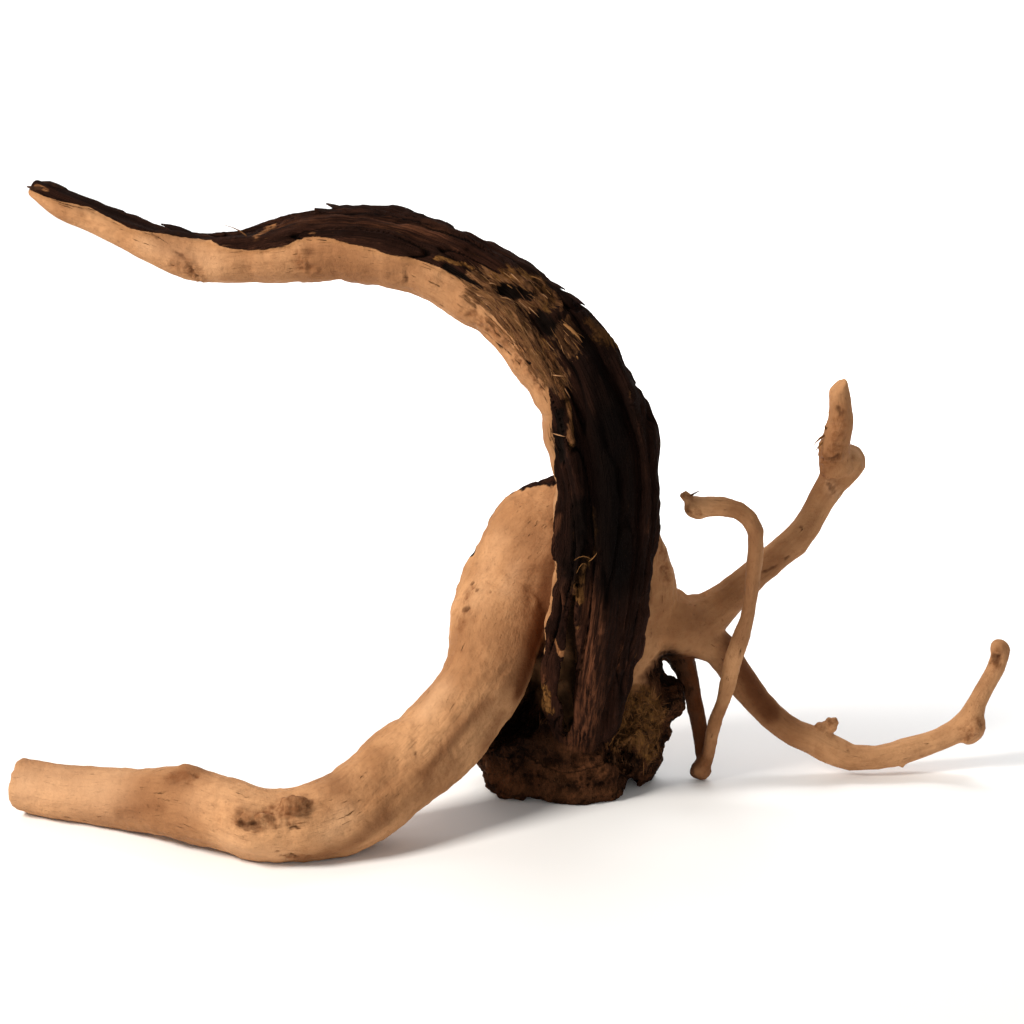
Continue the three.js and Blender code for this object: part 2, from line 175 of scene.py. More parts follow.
# Rows of each limb as GrainLine has them, or of x, y, z and radius for a round limb.
LIMB_ROWS: dict[Limb, tuple[tuple[float, ...], ...]] = {
    Limb.SLAB: (
        (31, 22, 4, 10, 7, 10, 12, 0), (32, 13, 22, 13, 8, 12, 14, -8),
        (32.5, 5, 46, 17.5, 10, 14, 16, -8), (34, 0, 70, 21.5, 11, 15, 18, -6),
        (37.5, -4, 97, 22, 12, 16, 18, -4), (40, -7, 122, 22, 12, 16, 16, -2),
        (41, -8.5, 148, 23, 12, 15, 14, 0), (40, -8.5, 170, 23.5, 12, 15, 12, 4),
        (34.5, -7.5, 190, 23, 12, 15, 10, 12), (26.3, -4.5, 206, 21.5, 12, 15, 12, 24),
        (16, -0.5, 218, 20.5, 12, 15, 15, 36), (6, 4, 228, 20.3, 12.5, 15, 16, 48),
        (-4, 8, 236, 20.5, 13, 15, 14, 57), (-18, 13, 243.5, 20, 13, 16, 10, 62),
        (-33, 17, 250, 19.5, 12.5, 16, 6, 65), (-50, 21, 254.5, 19, 12.5, 15.5, 3, 68),
        (-68, 24.5, 256, 18, 13, 15.5, 0, 70), (-88, 28, 254, 16.5, 12, 14.5, 0, 74),
        (-108, 31, 250.5, 14.5, 9.5, 13, 0, 76), (-126, 33, 248, 12.5, 8, 11.5, 0, 80),
        (-142, 35, 248.5, 11, 7.5, 10.5, 0, 82), (-157, 36, 253, 9.5, 6, 8.5, 0, 82),
        (-173, 38, 260, 8.5, 4.5, 7, 0, 80), (-185, 39, 265, 8, 4.5, 6.5, 0, 76),
        (-197, 40, 270, 7.5, 4.2, 6.5, 0, 74), (-206, 41, 274.5, 6, 3.2, 4.5, 0, 74),
        (-211.5, 41.5, 277.5, 4.5, 2.2, 2.5, 0, 74),
    ),
    Limb.LEFT_ROOT: (
        (34, 31, 152, 14, 10, 10, 0, 0), (26, 33, 136, 30, 17, 17, 0, 0),
        (14, 34, 118, 36, 21, 20, 0, 4), (2, 32, 102, 32, 22, 22, -4, 8),
        (-4, 24, 88, 26, 22, 22, -8, 12), (-7, 14, 77, 22.5, 22, 22, -14, 18),
        (-10, 6, 67, 20.5, 20, 20, -18, 24), (-20, -7, 51, 18.5, 18, 18, -24, 28),
        (-37, -21, 37, 19, 18, 18, -20, 30), (-55, -34, 26, 18.5, 18.5, 18.5, -14, 30),
        (-72, -45, 17.5, 18.5, 18.5, 18.5, -6, 30), (-94, -53, 14.5, 17, 18, 18, 0, 30),
        (-110.5, -53, 14.5, 17, 18, 18, 8, 30), (-127.5, -47, 16.5, 16, 16, 16, 12, 30),
        (-143.5, -38, 17.5, 16, 15.5, 15.5, 16, 30), (-160, -29, 15, 14, 14, 14, 16, 30),
        (-182, -18.5, 12.5, 13, 12.5, 12.5, 16, 30), (-205, -10.5, 11, 13, 12.5, 12.5, 16, 30),
        (-224, -4.5, 12, 12, 12, 12, 16, 30),
    ),
    Limb.CROWN: (
        (38, 36, -4, 34, 22, 24, 0, 0), (38, 36, 16, 34, 22, 24, 0, 0),
        (38, 35, 36, 34, 16, 22, 0, 0), (40, 34, 60, 38, 20, 24, 0, 0),
        (42, 33, 84, 38, 24, 25, 0, 0), (43, 32, 108, 32, 23, 22, 0, 0),
        (42, 31, 128, 26, 18, 17, 0, 0), (38, 31, 146, 18, 11, 11, 0, 0),
    ),
    Limb.UPPER_LIMB: (
        (52, 38, 78, 22), (68, 42, 74, 17), (82, 44.5, 71.5, 13.5), (92.5, 45.5, 76.5, 10.6),
        (101.5, 47.5, 84, 8.6), (111, 49.5, 93, 7.4), (122.5, 51.5, 102.5, 7),
        (130.5, 52.5, 109, 7.6), (136, 53.5, 116.5, 6.6), (142, 55.5, 128, 6.2),
        (147, 56.5, 136, 7), (152.5, 57.2, 147, 10),
    ),
    Limb.STUB: (
        (147, 50, 153, 7.6), (147.5, 47.5, 160, 7), (149, 44.5, 170, 6.2), (148, 41.5, 180, 5.4),
        (146.5, 39.5, 189, 4.6),
    ),
    Limb.LOWER_LIMB: (
        (88, 45, 65.5, 11), (97.2, 44.5, 58.5, 8.7), (103, 43.5, 49.5, 7.6), (109, 42.5, 41, 7.1),
        (115, 41.5, 33.5, 6.4), (121.5, 40.5, 26.5, 6.4), (131.5, 38.5, 19.8, 6.2),
        (140.5, 37.5, 16.6, 6.6), (148.5, 36.5, 12.6, 6.8), (158.5, 35.5, 8.4, 6.2),
        (170, 35.5, 8.2, 5.8), (183, 37.5, 11, 6.2), (196, 39.5, 14.2, 5.6),
        (207.5, 40.5, 19.2, 5.8), (214.5, 41.5, 25, 6.2), (217, 42.5, 33, 4.4),
        (220.5, 43.5, 40, 4), (225.2, 44.5, 49, 4), (227.2, 45.3, 56, 4.2), (226, 45.5, 63, 3),
    ),
    Limb.TWIG: (
        (88, 29.5, 0, 4), (88.2, 29.5, 6, 5), (91.2, 28.5, 13, 3.3), (92.5, 26.5, 24.5, 3.2),
        (94, 24.5, 33, 3.2), (98.5, 20.5, 50, 3.9), (103.4, 16.5, 74, 4.1), (107.4, 14.5, 93, 3.2),
        (108.1, 12.5, 108, 3.8), (108.6, 10.5, 128, 4.2), (105.2, 9.5, 134.5, 4.4),
        (100.2, 8.5, 138.6, 4.4), (93, 7.5, 140.6, 4.8), (86.8, 6.5, 141, 4.7), (80, 5.5, 143, 4),
        (75, 5.5, 148, 2),
    ),
    Limb.BACK_ROOT: (
        (74, 45, 61, 8), (77.5, 45.5, 56, 6.6), (82.5, 44.5, 44, 4.8), (84.8, 43.5, 35, 4.2),
        (86.5, 40.5, 27.5, 4.4), (88.2, 36.5, 18.5, 4), (88.8, 32, 10, 3.4),
    ),
}
GRAIN_LINES = tuple(GrainLine(limb, full_rows(rows)) for limb, rows in LIMB_ROWS.items())


class Noise:
    """Smooth noise in space, the same on every run."""

    MIXERS = (73856093, 19349663, 83492791)
    SEED_MIXER = 2654435761
    LAST_MIXER = 1274126177
    WORD = 0xFFFFFFFF
    HALF_WORD = 0xFFFF

    def __init__(self, seed: int) -> None:
        """Keeps the seed that tells one noise from another."""
        self.seed = seed

    def _corner(self, cell: np.ndarray) -> np.ndarray:
        """Gives a fixed value for each cell.

        Args:
            cell: Rows of three whole numbers.

        Returns:
            One value between -1 and 1 for each row.
        """
        first, second, third = (cell[..., axis] * mixer for axis, mixer in enumerate(self.MIXERS))
        mixed = (first ^ second ^ third) + self.seed * self.SEED_MIXER
        mixed = (mixed ^ (mixed >> 13)) & self.WORD
        mixed = (mixed * self.LAST_MIXER) & self.WORD
        mixed = (mixed ^ (mixed >> 16)) & self.HALF_WORD
        return mixed / (self.HALF_WORD / 2) - 1.0

    def at(self, points: np.ndarray) -> np.ndarray:
        """Gives the noise at points.

        Args:
            points: Rows of three numbers, one unit to a cell.

        Returns:
            One value between -1 and 1 for each row.
        """
        cell = np.floor(points).astype(np.int64)
        part = points - cell
        ease = part * part * (3 - 2 * part)
        total = np.zeros(len(points))
        for corner in range(8):
            step = np.array([corner & 1, corner >> 1 & 1, corner >> 2 & 1])
            share = np.where(step == 1, ease, 1 - ease).prod(1)
            total += share * self._corner(cell + step)
        return total

    def layered(self, points: np.ndarray, layers: int) -> np.ndarray:
        """Gives noise with finer and weaker layers added to the first.

        Args:
            points: Rows of three numbers, one unit to a cell of the first layer.
            layers: How many layers to add up.

        Returns:
            One value for each row.
        """
        finer, apart, weaker = 2.03, 17.3, 0.5
        total = np.zeros(len(points))
        for layer in range(layers):
            total += self.at(points * finer**layer + apart * layer) * weaker**layer
        return total

    def ridged(self, points: np.ndarray) -> np.ndarray:
        """Gives noise with sharp ridges near 1 and wide hollows near 0."""
        return 1 - np.abs(self.at(points))


def eased(low: float, high: float, value: np.ndarray) -> np.ndarray:
    """Gives a soft step from 0 at low to 1 at high."""
    share = np.clip((value - low) / (high - low), 0, 1)
    return share * share * (3 - 2 * share)


def table_at(pairs: tuple[tuple[float, float], ...], value: np.ndarray) -> np.ndarray:
    """Reads a table of pairs at values that lie between its rows."""
    rows = np.array(pairs)
    return np.interp(value, rows[:, 0], rows[:, 1])


@dataclass(frozen=True)
class Mark:
    """A soft stroke on the wood: its half width, strength and path, in mm, as drawn."""

    ROOM = 2.2
    START, SLOPE = 1.15, 0.62
    STAIN_FALL, SWELL_FALL = 1.1, 1.6
    half: float
    amount: float
    path: tuple[tuple[float, float, float], ...]

    def reach(self, points: np.ndarray) -> tuple[np.ndarray, np.ndarray]:
        """Measures how far points lie from the path.

        Args:
            points: Points in mm in the row frame.

        Returns:
            Which points lie near, and their distances in half widths.
        """
        line = np.array(self.path) - MIDDLE
        room = self.half * self.ROOM + 1
        near = np.flatnonzero(
            ((points > line.min(0) - room) & (points < line.max(0) + room)).all(1)
        )
        spots = points[near]
        best = np.full(len(near), FAR)
        starts, ends = (line, line) if len(line) == 1 else (line[:-1], line[1:])
        for start, end in zip(starts, ends):
            way = end - start
            share = np.clip((spots - start) @ way / max(way @ way, 1e-9), 0, 1)
            best = np.minimum(best, np.linalg.norm(spots - start - share[:, None] * way, axis=1))
        return near, best / self.half

    def paint(self, mask: np.ndarray, points: np.ndarray, rag: np.ndarray) -> None:
        """Paints the stroke into a mask, with a ragged edge.

        Args:
            mask: The mask to paint into.
            points: Points in mm in the row frame.
            rag: How far the edge is pushed in at each point, in half widths.
        """
        near, far = self.reach(points)
        share = np.clip(self.START - self.SLOPE * (far + rag[near]), 0, 1) * self.amount
        mask[near] = np.maximum(mask[near], share)

    def soft_cloud(self, mask: np.ndarray, points: np.ndarray) -> None:
        """Lays the stroke into a mask as a soft cloud with no edge."""
        near, far = self.reach(points)
        mask[near] = np.maximum(mask[near], self.amount * np.exp(-self.STAIN_FALL * far**2))

    def swell(self, height: np.ndarray, points: np.ndarray, sign: float) -> None:
        """Raises or sinks the skin under the stroke."""
        near, far = self.reach(points)
        height[near] += sign * self.amount * np.exp(-self.SWELL_FALL * far**2)


class GrainMap:
    """Where each point of the wood lies along and across its limb."""

    BATCH = 20000
    END_PULL = 0.5

    def __init__(self, points: np.ndarray) -> None:
        """Measures the points against every limb and keeps the nearest.

        Args:
            points: Points in mm in the row frame.
        """
        count = len(points)
        self.limb = np.zeros(count, dtype=int)
        self.place = np.zeros((count, 3))
        self.angle = np.zeros(count)
        self.girth = np.ones(count)
        self.ahead = np.zeros((count, 3))
        nearest = np.full(count, FAR)
        second = np.full(count, FAR)
        for number, line in enumerate(GRAIN_LINES):
            place, angle, girth, reach, ahead = self._measure(points, line)
            closer = reach < nearest
            second = np.where(closer, nearest, np.minimum(second, reach))
            nearest = np.where(closer, reach, nearest)
            self.limb[closer] = number
            self.place[closer] = place[closer]
            self.angle[closer] = angle[closer]
            self.girth[closer] = girth[closer]
            self.ahead[closer] = ahead[closer]
        self.clear = eased(0.02, 0.45, second - nearest)

    def _measure(self, points: np.ndarray, line: GrainLine) -> tuple[np.ndarray, ...]:
        """Measures points against one limb.

        Args:
            points: Points in mm.
            line: The limb's grain line.

        Returns:
            Place along and across, angle round the limb, girth, reach in girths, and way.
        """
        s = line.samples()
        best = np.zeros(len(points), dtype=int)
        for start in range(0, len(points), self.BATCH):
            part = points[start : start + self.BATCH].astype(np.float32)
            far = (
                (part**2).sum(1)[:, None]
                - 2 * part @ s["at"].T.astype(np.float32)
                + (s["at"] ** 2).sum(1)[None].astype(np.float32)
            )
            best[start : start + self.BATCH] = far.argmin(1)
        off = points - s["at"][best]
        ahead = (off * s["ahead"][best]).sum(1)
        across = (off * s["side"][best]).sum(1)
        outward = (off * s["face"][best]).sum(1)
        size = s["size"][best]
        depth = np.where(outward > 0, size[:, 1], size[:, 2])
        past_end = (ahead / size[:, 0]) ** 2 * self.END_PULL
        reach = np.sqrt((across / size[:, 0]) ** 2 + (outward / depth) ** 2 + past_end)
        angle = np.degrees(np.arctan2(outward / depth, across / size[:, 0]))
        place = np.column_stack([s["along"][best] + ahead, across, outward])
        angle = np.where(angle < -90, angle + 360, angle)
        return place, angle, size.mean(1), reach, s["ahead"][best]

    def on(self, limb: Limb) -> np.ndarray:
        """Tells which points belong to a limb."""
        return self.limb == [line.limb for line in GRAIN_LINES].index(limb)


def strokes(*rows: tuple[float, ...]) -> tuple[Mark, ...]:
    """Makes strokes.

    Args:
        *rows: The half width and strength of each, and then x, y and z of its points.

    Returns:
        The strokes.
    """
    return tuple(
        Mark(row[0], row[1], tuple(row[at : at + 3] for at in range(2, len(row), 3)))
        for row in rows
    )


# How far round the slab the bark reaches, in degrees, at places along it, in mm.
BARK_EDGE = (
    (0, 196), (60, 196), (85, 168), (105, 168), (123, 176), (133, 170), (153, 164), (175, 155),
    (189, 146), (203, 134), (216, 127), (240, 120), (264, 128), (288, 136), (306, 143), (323, 141),
    (337, 130), (344, 128), (351, 138), (370, 137), (380, 127), (392, 107), (405, 92), (418, 115),
    (428, 126), (440, 112), (449, 100), (465, 134), (476, 152),
)

GOLDEN_MARKS = strokes(
    (1.2, 1.0, 14.5, -11.5, 219, 19, -17.5, 208.5, 21.5, -19, 201.5),
    (0.9, 1.0, 21.5, -19, 201.5, 24, -19.5, 194, 25.5, -21, 186.5, 25.5, -23, 177.5),
    (0.9, 1.0, -32.5, 1, 254.5, -24.5, 0, 252, -17, 1, 249.5),
    (0.8, 0.9, 36, -21, 148.5, 36.5, -21.5, 137, 35.5, -21.5, 127.5),
    (2.0, 1.0, 32, -21, 125.5, 29.5, -21.5, 118.5, 29, -20.5, 107),
    (3.0, 1.0, 15.5, -6.5, 59, 16, -4.5, 48.5),
    (6.0, 1.0, 47, 15, 28.5, 54, 19, 31.5, 61, 18, 27),
    (5.0, 1.0, 59, 23, 42, 64.5, 23.5, 34.5, 63.5, 17, 20),
    (2.2, 0.8, 36, -7, 223, 40.5, -7, 219),
    (3.4, 0.7, -5, 1.5, 248.5, 3.5, 3, 247, 11, 4, 242.5, 15.5, 0, 237.5, 14, -5.5, 233.5),
    (1.4, 0.6, 13.5, -11, 221.5, 17.5, -12, 219.5),
    (1.8, 1.0, 32.5, -3, 227.5, 38, -5.5, 223, 43, -4.5, 217.5),
)
BARE_MARKS = strokes(
    (1.0, 0.9, -209, 39, 278, -204, 39, 276.5),
    (2.4, 0.8, -110.5, 24, 259, -108, 27, 261, -106, 28.5, 262),
    (1.0, 0.6, -88, 16, 262, -85, 14, 261.5),
    (1.5, 1.0, 14.5, -13, 217.5, 19, -18, 207.5, 21.5, -20, 199),
    (1.1, 1.0, 23, -20, 195.5, 24.5, -21, 189, 25.5, -23, 180.5),
    (1.5, 1.0, 23, -6.5, 228.5, 25.5, -8.5, 225.5, 27, -10, 223.5),
    (0.9, 0.9, 12, 5.5, 243, 17, 2.5, 239, 20, -1.5, 234.5, 19.5, -5, 231.5),
    (1.1, 0.9, -11, -9.5, 231, -3, -12.5, 224.5, 4.5, -15.5, 218.5),
    (0.9, 0.8, 19.5, -15.5, 86, 22, -15.5, 79),
)
# Lighter patches: painted light where the key light falls, on the left end and tops of the root,
# the slab's left-facing strip and other lit faces; and the paler cut face at the end of the upper
# limb.
LIT_AND_PALE_MARKS = strokes(
    (13.5, 1.0, -219, -17.5, 17.5, -202, -21.5, 19, -178.5, -31, 21),
    (8.0, 0.8, -203, -14.5, 22.5, -174.5, -25.5, 26),
    (10.0, 0.3, -137.5, -55.5, 27, -120, -56, 32),
    (8.0, 0.8, -122, -66, 10.5, -102.5, -68.5, 6),
    (6.0, 0.7, -72, -64, 23.5, -78.5, -67.5, 16),
    (7.0, 0.4, -15, 5.5, 97.5, -12, 18, 107.5, -5.5, 19, 121),
    (7.0, 0.8, -32, -17.5, 63, -38.5, -24, 56),
    (4.5, 0.7, -3, 6, 102, 1.5, 12, 109.5),
    (6.0, 0.7, -160, 26, 255, -130, 22, 247),
    (5.0, 1.0, 20, -10, 206, 22, -8, 190, 22, -8, 170),
    (4.2, 0.9, 157.5, 53.5, 152),
    (3.4, 0.9, 145.5, 50.5, 138.5, 148, 50.5, 132),
)
ROUGH_MARKS = strokes(
    (3.2, 1.0, -118, -68.5, 24, -113.5, -70.5, 23.5, -107.5, -70, 25, -100, -67.5, 26.5),
    (5.4, 1.0, -94.5, -67.5, 29.5, -90.5, -65.5, 30.5),
    (1.8, 0.8, -110.5, -71.5, 20, -91, -70, 23),
    (2.8, 1.0, 141.5, 47.5, 145.5, 143.5, 44, 149.5),
    (2.8, 1.0, 147.5, 41, 157, 141, 45, 152, 145, 41.5, 155.5),
    (2.6, 0.5, 144, 51.5, 138.5, 149, 49.5, 138, 145, 49.5, 131),
    (3.2, 0.8, 147.5, 38, 173, 147.5, 39.5, 164),
    (2.2, 0.6, 155, 50, 150),
    (2.2, 1.0, 81, 2, 138, 77.5, 2, 141.5),
    (1.8, 1.0, 78.5, 4, 146, 75.5, 4, 147.5),
    (2.8, 1.0, 143.5, 35, 25.5, 149, 36, 27),
    (3.6, 1.0, 211, 34, 20.5, 216.5, 34, 24),
    (2.8, 1.0, 224.5, 41, 57.5, 223.5, 42, 52.5),
    (3.6, 0.9, 67, 24, 117, 69.5, 23, 103),
    (3.2, 0.7, -19, 12.5, 99.5, -22.5, 1.5, 87),
    (4.0, 0.8, -146, 24.5, 247.5, -140, 24, 244, -137, 28.5, 238.5),
    (3.2, 0.8, -92, 12, 250.5, -86.5, 12.5, 247.5),
    (3.2, 0.9, -18, -7.5, 231.5, -7.5, -11, 225, 3.5, -15.5, 216, 12, -18.5, 203.5),
    (2.8, 0.9, -149.5, -41, 32.5, -140, -45, 33),
    (1.8, 0.9, -97, -68, 6, -89.5, -65.5, 4.5),
    (3.0, 0.8, 88.5, 26, 3, 90, 26, 10),
)
WARM_MARKS = strokes(
    (4.0, 1.0, -12, 8, 14, -5.5, 7.5, 10, 4.5, 2, 6.5),
    (4.0, 1.0, 10.5, 5.5, 32, 19.5, 4.5, 28, 28.5, 2, 25),
    (3.6, 0.8, 8, 2.5, 18.5, 22, 2, 14, 40, 3, 16),
    (3.0, 0.7, 0, 2, 4, 30, -2, 5, 56, 6, 5),
)
TORN_MARKS = strokes(
    (6.5, 1.0, -13, -4.5, 245.5, -5, -10, 239, 0, -12.5, 231.5),
    (6.5, 1.0, 0, -12.5, 231.5, 7, -16, 223, 14.5, -17.5, 213.5),
    (4.5, 1.0, 14.5, -17.5, 213.5, 20.5, -17.5, 205.5),
    (6.5, 1.0, -5, -1, 243.5, 5.5, -2, 241.5, 12, -3.5, 237.5),
    (3.8, 0.9, 21.5, -10.5, 226, 25.5, -14.5, 218),
)
# Sunk eyes and slits; their colour is painted shade.
EYE_MARKS = strokes(
    (2.8, 1.0, -3.5, -2, 241.5, 1.5, -3, 241),
    (2.0, 1.0, 3.5, -3, 241, 7.5, -3, 239),
    (3.6, 1.0, 12.5, -7.5, 230.5, 15.5, -9, 227.5),
    (1.2, 1.0, -28.5, -1, 251.5, -21.5, -3, 248, -13.5, -6.5, 244),
    (2.2, 0.9, 20.5, -21.5, 192.5, 20.5, -22, 184.5, 21.5, -20.5, 171),
    (0.8, 0.8, -11.5, -5.5, 222.5, -2.5, -10.5, 216, 7.5, -17.5, 213),
    (2.0, 0.8, 20, -8, 231, 24, -6, 234),
)
RED_MARKS = strokes(
    (4.0, 1.0, 33.5, -19.5, 111, 34.5, -16.5, 86.5, 35.5, -12.5, 61),
    (5.0, 1.0, 35.5, -12.5, 61, 33, -3.5, 38.5, 28.5, 1, 27.5),
    (1.6, 1.0, 37.5, -21, 112.5, 38, -18.5, 92),
    (1.3, 1.0, 47, -9, 81.5, 47, -5, 69),
    (3.3, 1.0, 14, -3.5, 74.5, 14.5, -5, 65),
    (1.0, 0.8, 21.5, -19.5, 145.5, 19, -16, 130.5, 17.5, -14, 120),
    (1.2, 0.9, 21.5, -17.5, 110, 21.5, -17.5, 105.5),
    (1.0, 0.8, 60, -14, 141.5, 59.5, -14.5, 137),
    (3.0, 0.6, -100, 26, 262, -60, 16, 266, -30, 10, 262),
)
# Painted shade, near black: down the deep groove on the slab's front, in the cave between the
# crown, the slab and the left root, and in the hole by the back root.
SHADED_RECESS_MARKS = strokes(
    (3.6, 1.0, 30.5, -22.5, 151, 29.5, -23, 135.5, 26.5, -19.5, 118.5),
    (4.0, 1.0, 27, -7.5, 102, 27, 2.5, 74.5, 27.5, 15, 50.5, 27.5, 13.5, 35.5),
    (13.0, 1.0, 6, 32, 44, 3, 24, 30),
    (11.0, 1.0, 16, 20, 66, 13, 17, 44, 8, 12, 28),
    (11.0, 1.0, 27, 26, 100, 26, 26, 70, 26, 24, 40),
    (7.0, 0.9, 70, 36, 60, 73, 38, 46),
)
REMNANT_MARKS = strokes(
    (4.2, 1.0, 8, 34, 143, 15, 32, 146.5, 20, 31, 146),
    (1.5, 1.0, -18, 33, 109.5, -16.5, 34, 111.5),
    (1.2, 0.7, -11, 33, 126, -3, 33, 136.5, 4.5, 34, 142),
    (3.2, 1.0, 68.5, 37.5, 58, 72, 31, 46, 71, 30, 30),
)
ROT_MARKS = strokes(
    (17.0, 1.0, -12, 16, 4, 10, 8, 4, 34, 4, 4, 58, 14, 4),
    (17.0, 1.0, 0, 34, 6, 30, 40, 4, 60, 38, 6),
    (10.0, 1.0, -10, 6, 14, 8, 2, 16, 26, 0, 16, 44, 6, 14),
    (9.0, 1.0, 66, 34, 12, 72, 32, 30, 71, 34, 44),
    (12.0, 1.0, -2, 24, 20, 10, 30, 22),
    (12.0, 1.0, -14, 6, 22, -4, 2, 26, 6, 8, 26),
    (9.0, 1.0, 70, 26, 20, 74, 30, 36, 72, 30, 50),
    (7.0, 1.0, 50, 6, 22, 62, 12, 18, 70, 18, 14),
)
# Sunk pits and creases, darkened partly as painted shade.
PIT_MARKS = strokes(
    (0.9, 1.4, -18, 16, 102),
    (0.9, 1.2, -15, 9.5, 100.5),
    (1.3, 1.2, -21, 6, 93),
    (0.8, 0.8, -10.5, 7, 100.5),
    (1.2, 0.6, -22.5, -6, 78.5),
    (1.0, 0.6, 15, 15.5, 132.5),
    (2.0, 0.9, 68, 29, 117.5),
    (1.5, 0.9, 70, 28, 112.5),
    (1.0, 0.7, 62, 17, 103, 62, 17, 89.5),
    (1.1, 0.8, -42.5, -41, 42.5, -41, -42.5, 40.5),
    (1.2, 1.0, -199.5, -23, 4),
    (0.7, 0.9, -92, -66.5, 5, -96, -69, 8, -98.5, -68.5, 6.5),
    (0.9, 0.8, -101, -70, 8.5),
    (1.4, 1.6, -116.5, -70, 22, -113.5, -71, 21, -109, -71, 22.5),
    (0.7, 1.2, -99.5, -71, 21.5, -95, -70.5, 20, -90, -70.5, 21.5),
    (0.8, 1.1, -148.5, 25.5, 252, -144, 24, 250, -140, 23.5, 245, -137.5, 25, 241),
    (2.4, 0.7, -87.5, 11, 255),
    (0.7, 0.8, -45.5, 1.5, 248.5, -46, 3.5, 243.5),
    (0.8, 1.1, 115.5, 43, 96.5, 121.5, 44, 100.5, 127.5, 45, 104.5),
    (1.0, 0.7, 133, 48, 118),
    (1.3, 1.2, 141, 47, 160.5),
    (0.8, 1.2, 140.5, 45, 150.5, 146, 42, 153, 151, 43.5, 157),
    (0.8, 0.9, 143, 50, 141.5, 146, 50, 134.5, 148.5, 50.5, 138),
    (1.5, 1.0, 146.5, 37, 177.5, 148.5, 37.5, 175),
    (0.9, 0.8, 96, 36.5, 76),
    (0.8, 0.7, 147, 30.5, 14.5),
    (0.7, 0.7, 156.5, 31, 13.5),
    (2.0, 1.4, 224.5, 41, 55.5),
    (0.8, 0.8, -158.5, 30, 259.5, -155, 29, 258),
)
KNOT_MARKS = strokes(
    (3.4, 2.2, -118, -66.5, 26, -112.5, -69.5, 25, -106.5, -70.5, 24),
    (5.4, 3.0, -95.5, -67.5, 29.5, -91.5, -67, 29),
    (2.4, 1.0, -106.5, -70.5, 24, -100.5, -69, 25.5),
    (1.8, 0.9, -142.5, 25.5, 253),
    (1.4, 0.9, -90.5, 12, 250.5),
    (2.7, 1.2, 142.5, 43.5, 153.5, 149, 42.5, 153),
    (3.0, 1.8, 215.5, 34, 24),
    (1.8, 1.3, 211.5, 35.5, 17),
    (1.4, 1.0, 182.5, 34.5, 5.5),
    (2.0, 1.0, 146.5, 50, 138.5, 147.5, 50.5, 131),
    (2.6, 1.2, 148, 34, 27, 150, 36, 28),
    (1.3, 1.3, 10.5, 6, 244.5, 15.5, 4, 241, 19.5, 1, 236.5, 19.5, -5, 231.5),
    (1.3, 0.9, -4, -1, 244, 3.5, -0.5, 245, 9, 0.5, 242),
    (1.2, 1.0, -148, 24, 249, -144, 22, 246, -141, 23, 241),
)
# Near-black clouds on the slab's front and the bend of the arch: partly charred bark, partly
# painted shade on the slab's shaded front.
CHAR_AND_SHADE_MARKS = strokes(
    (13.0, 0.85, 26, -8, 228, 36, -12, 214, 42, -20, 190),
    (20.0, 1.0, 42, -20, 190, 43, -21, 165, 42, -21, 140, 46, -18, 120),
    (9.0, 0.4, 52, -12, 112, 50, -8, 90, 46, -2, 66, 40, 6, 44),
    (8.0, 0.8, 14, 4, 245, 24, 0, 236),
)
# Darker clouds: a few real stains on the left root and the arch, and painted shade on the crown
# beside the slab, the neck, the fork, the twig, both right limbs, the back root and the middle of
# the arch. The strongest are painted shade.
STAIN_AND_SHADE_MARKS = strokes(
    (7.0, 0.6, -172, -37, 15, -164, -40, 22),
    (7.0, 0.7, -149, -43.5, 31, -139, -41, 35),
    (8.0, 0.8, -81.5, -44.5, 33, -75.5, -54, 33.5),
    (6.0, 0.6, -154, 28, 256.5, -140.5, 23, 248),
    (5.0, 0.8, -87.5, 11, 255),
    (8.0, 0.7, -93.5, -67.5, 29.5),
    (5.0, 0.7, -114.5, -68.5, 25.5),
    (13.0, 0.9, 12, 13, 122, 9, 6, 100, 5, -2, 80, 0, -10, 62),
    (8.0, 1.7, 19, 16, 120, 15, 8, 96, 9, -2, 74, 3, -8, 60),
    (13.0, 1.9, 26, 20, 128, 23, 18, 96, 16, 16, 70),
    (10.0, 1.7, 100, 41.5, 62, 112, 37, 42, 120, 35, 32),
    (7.0, 0.9, 109.5, 6.5, 130, 107, 7.5, 125, 106, 11.5, 95.5, 103, 12.5, 75.5),
    (6.0, 0.6, 98, 16, 50, 92, 22, 28),
    (11.0, 0.9, 86.5, 34, 77.5, 97, 38, 66),
    (4.5, 1.0, -92, -64, 2.5, -70.5, -63.5, 9, -55, -57.5, 21),
    (4.0, 1.0, -38, -44, 34, -25, -31.5, 47.5, -10, -19, 59),
    (4.0, 0.9, -173.5, -36, 12.5, -154, -48, 21),
    (5.0, 0.9, -11.5, -20, 38, -4.5, -15.5, 50.5),
    (15.0, 0.9, 80, 36, 74, 101, 40.5, 70),
    (12.0, 0.85, 102.5, 39.5, 85, 123.5, 44.5, 103),
    (12.0, 0.95, 102, 36, 52, 108, 36, 44, 124.5, 35, 27.5),
    (16.0, 0.6, 62, 16, 110, 64, 18, 80),
    (9.0, 0.5, 128, 46, 102.5, 139, 48, 121),
    (9.0, 0.6, 53.5, 12, 83.5, 58.5, 23, 52),
    (4.0, 0.7, 68, 25, 116.5),
    (4.0, 0.6, 100, 4, 140, 106.5, 6.5, 130),
    (12.0, 2.2, 78, 45, 60, 86, 41, 30, 89, 33, 10),
    (12.0, 0.8, -120, 24, 246, -90, 16, 248, -60, 8, 246, -30, 0, 242),
)


class Share(Enum):
    """The parts that the skin is divided into, so that each mesh stays light."""

    LEFT = "wood_left"
    RIGHT = "wood_right"
    UPPER = "wood_upper"
    LOWER = "wood_lower"


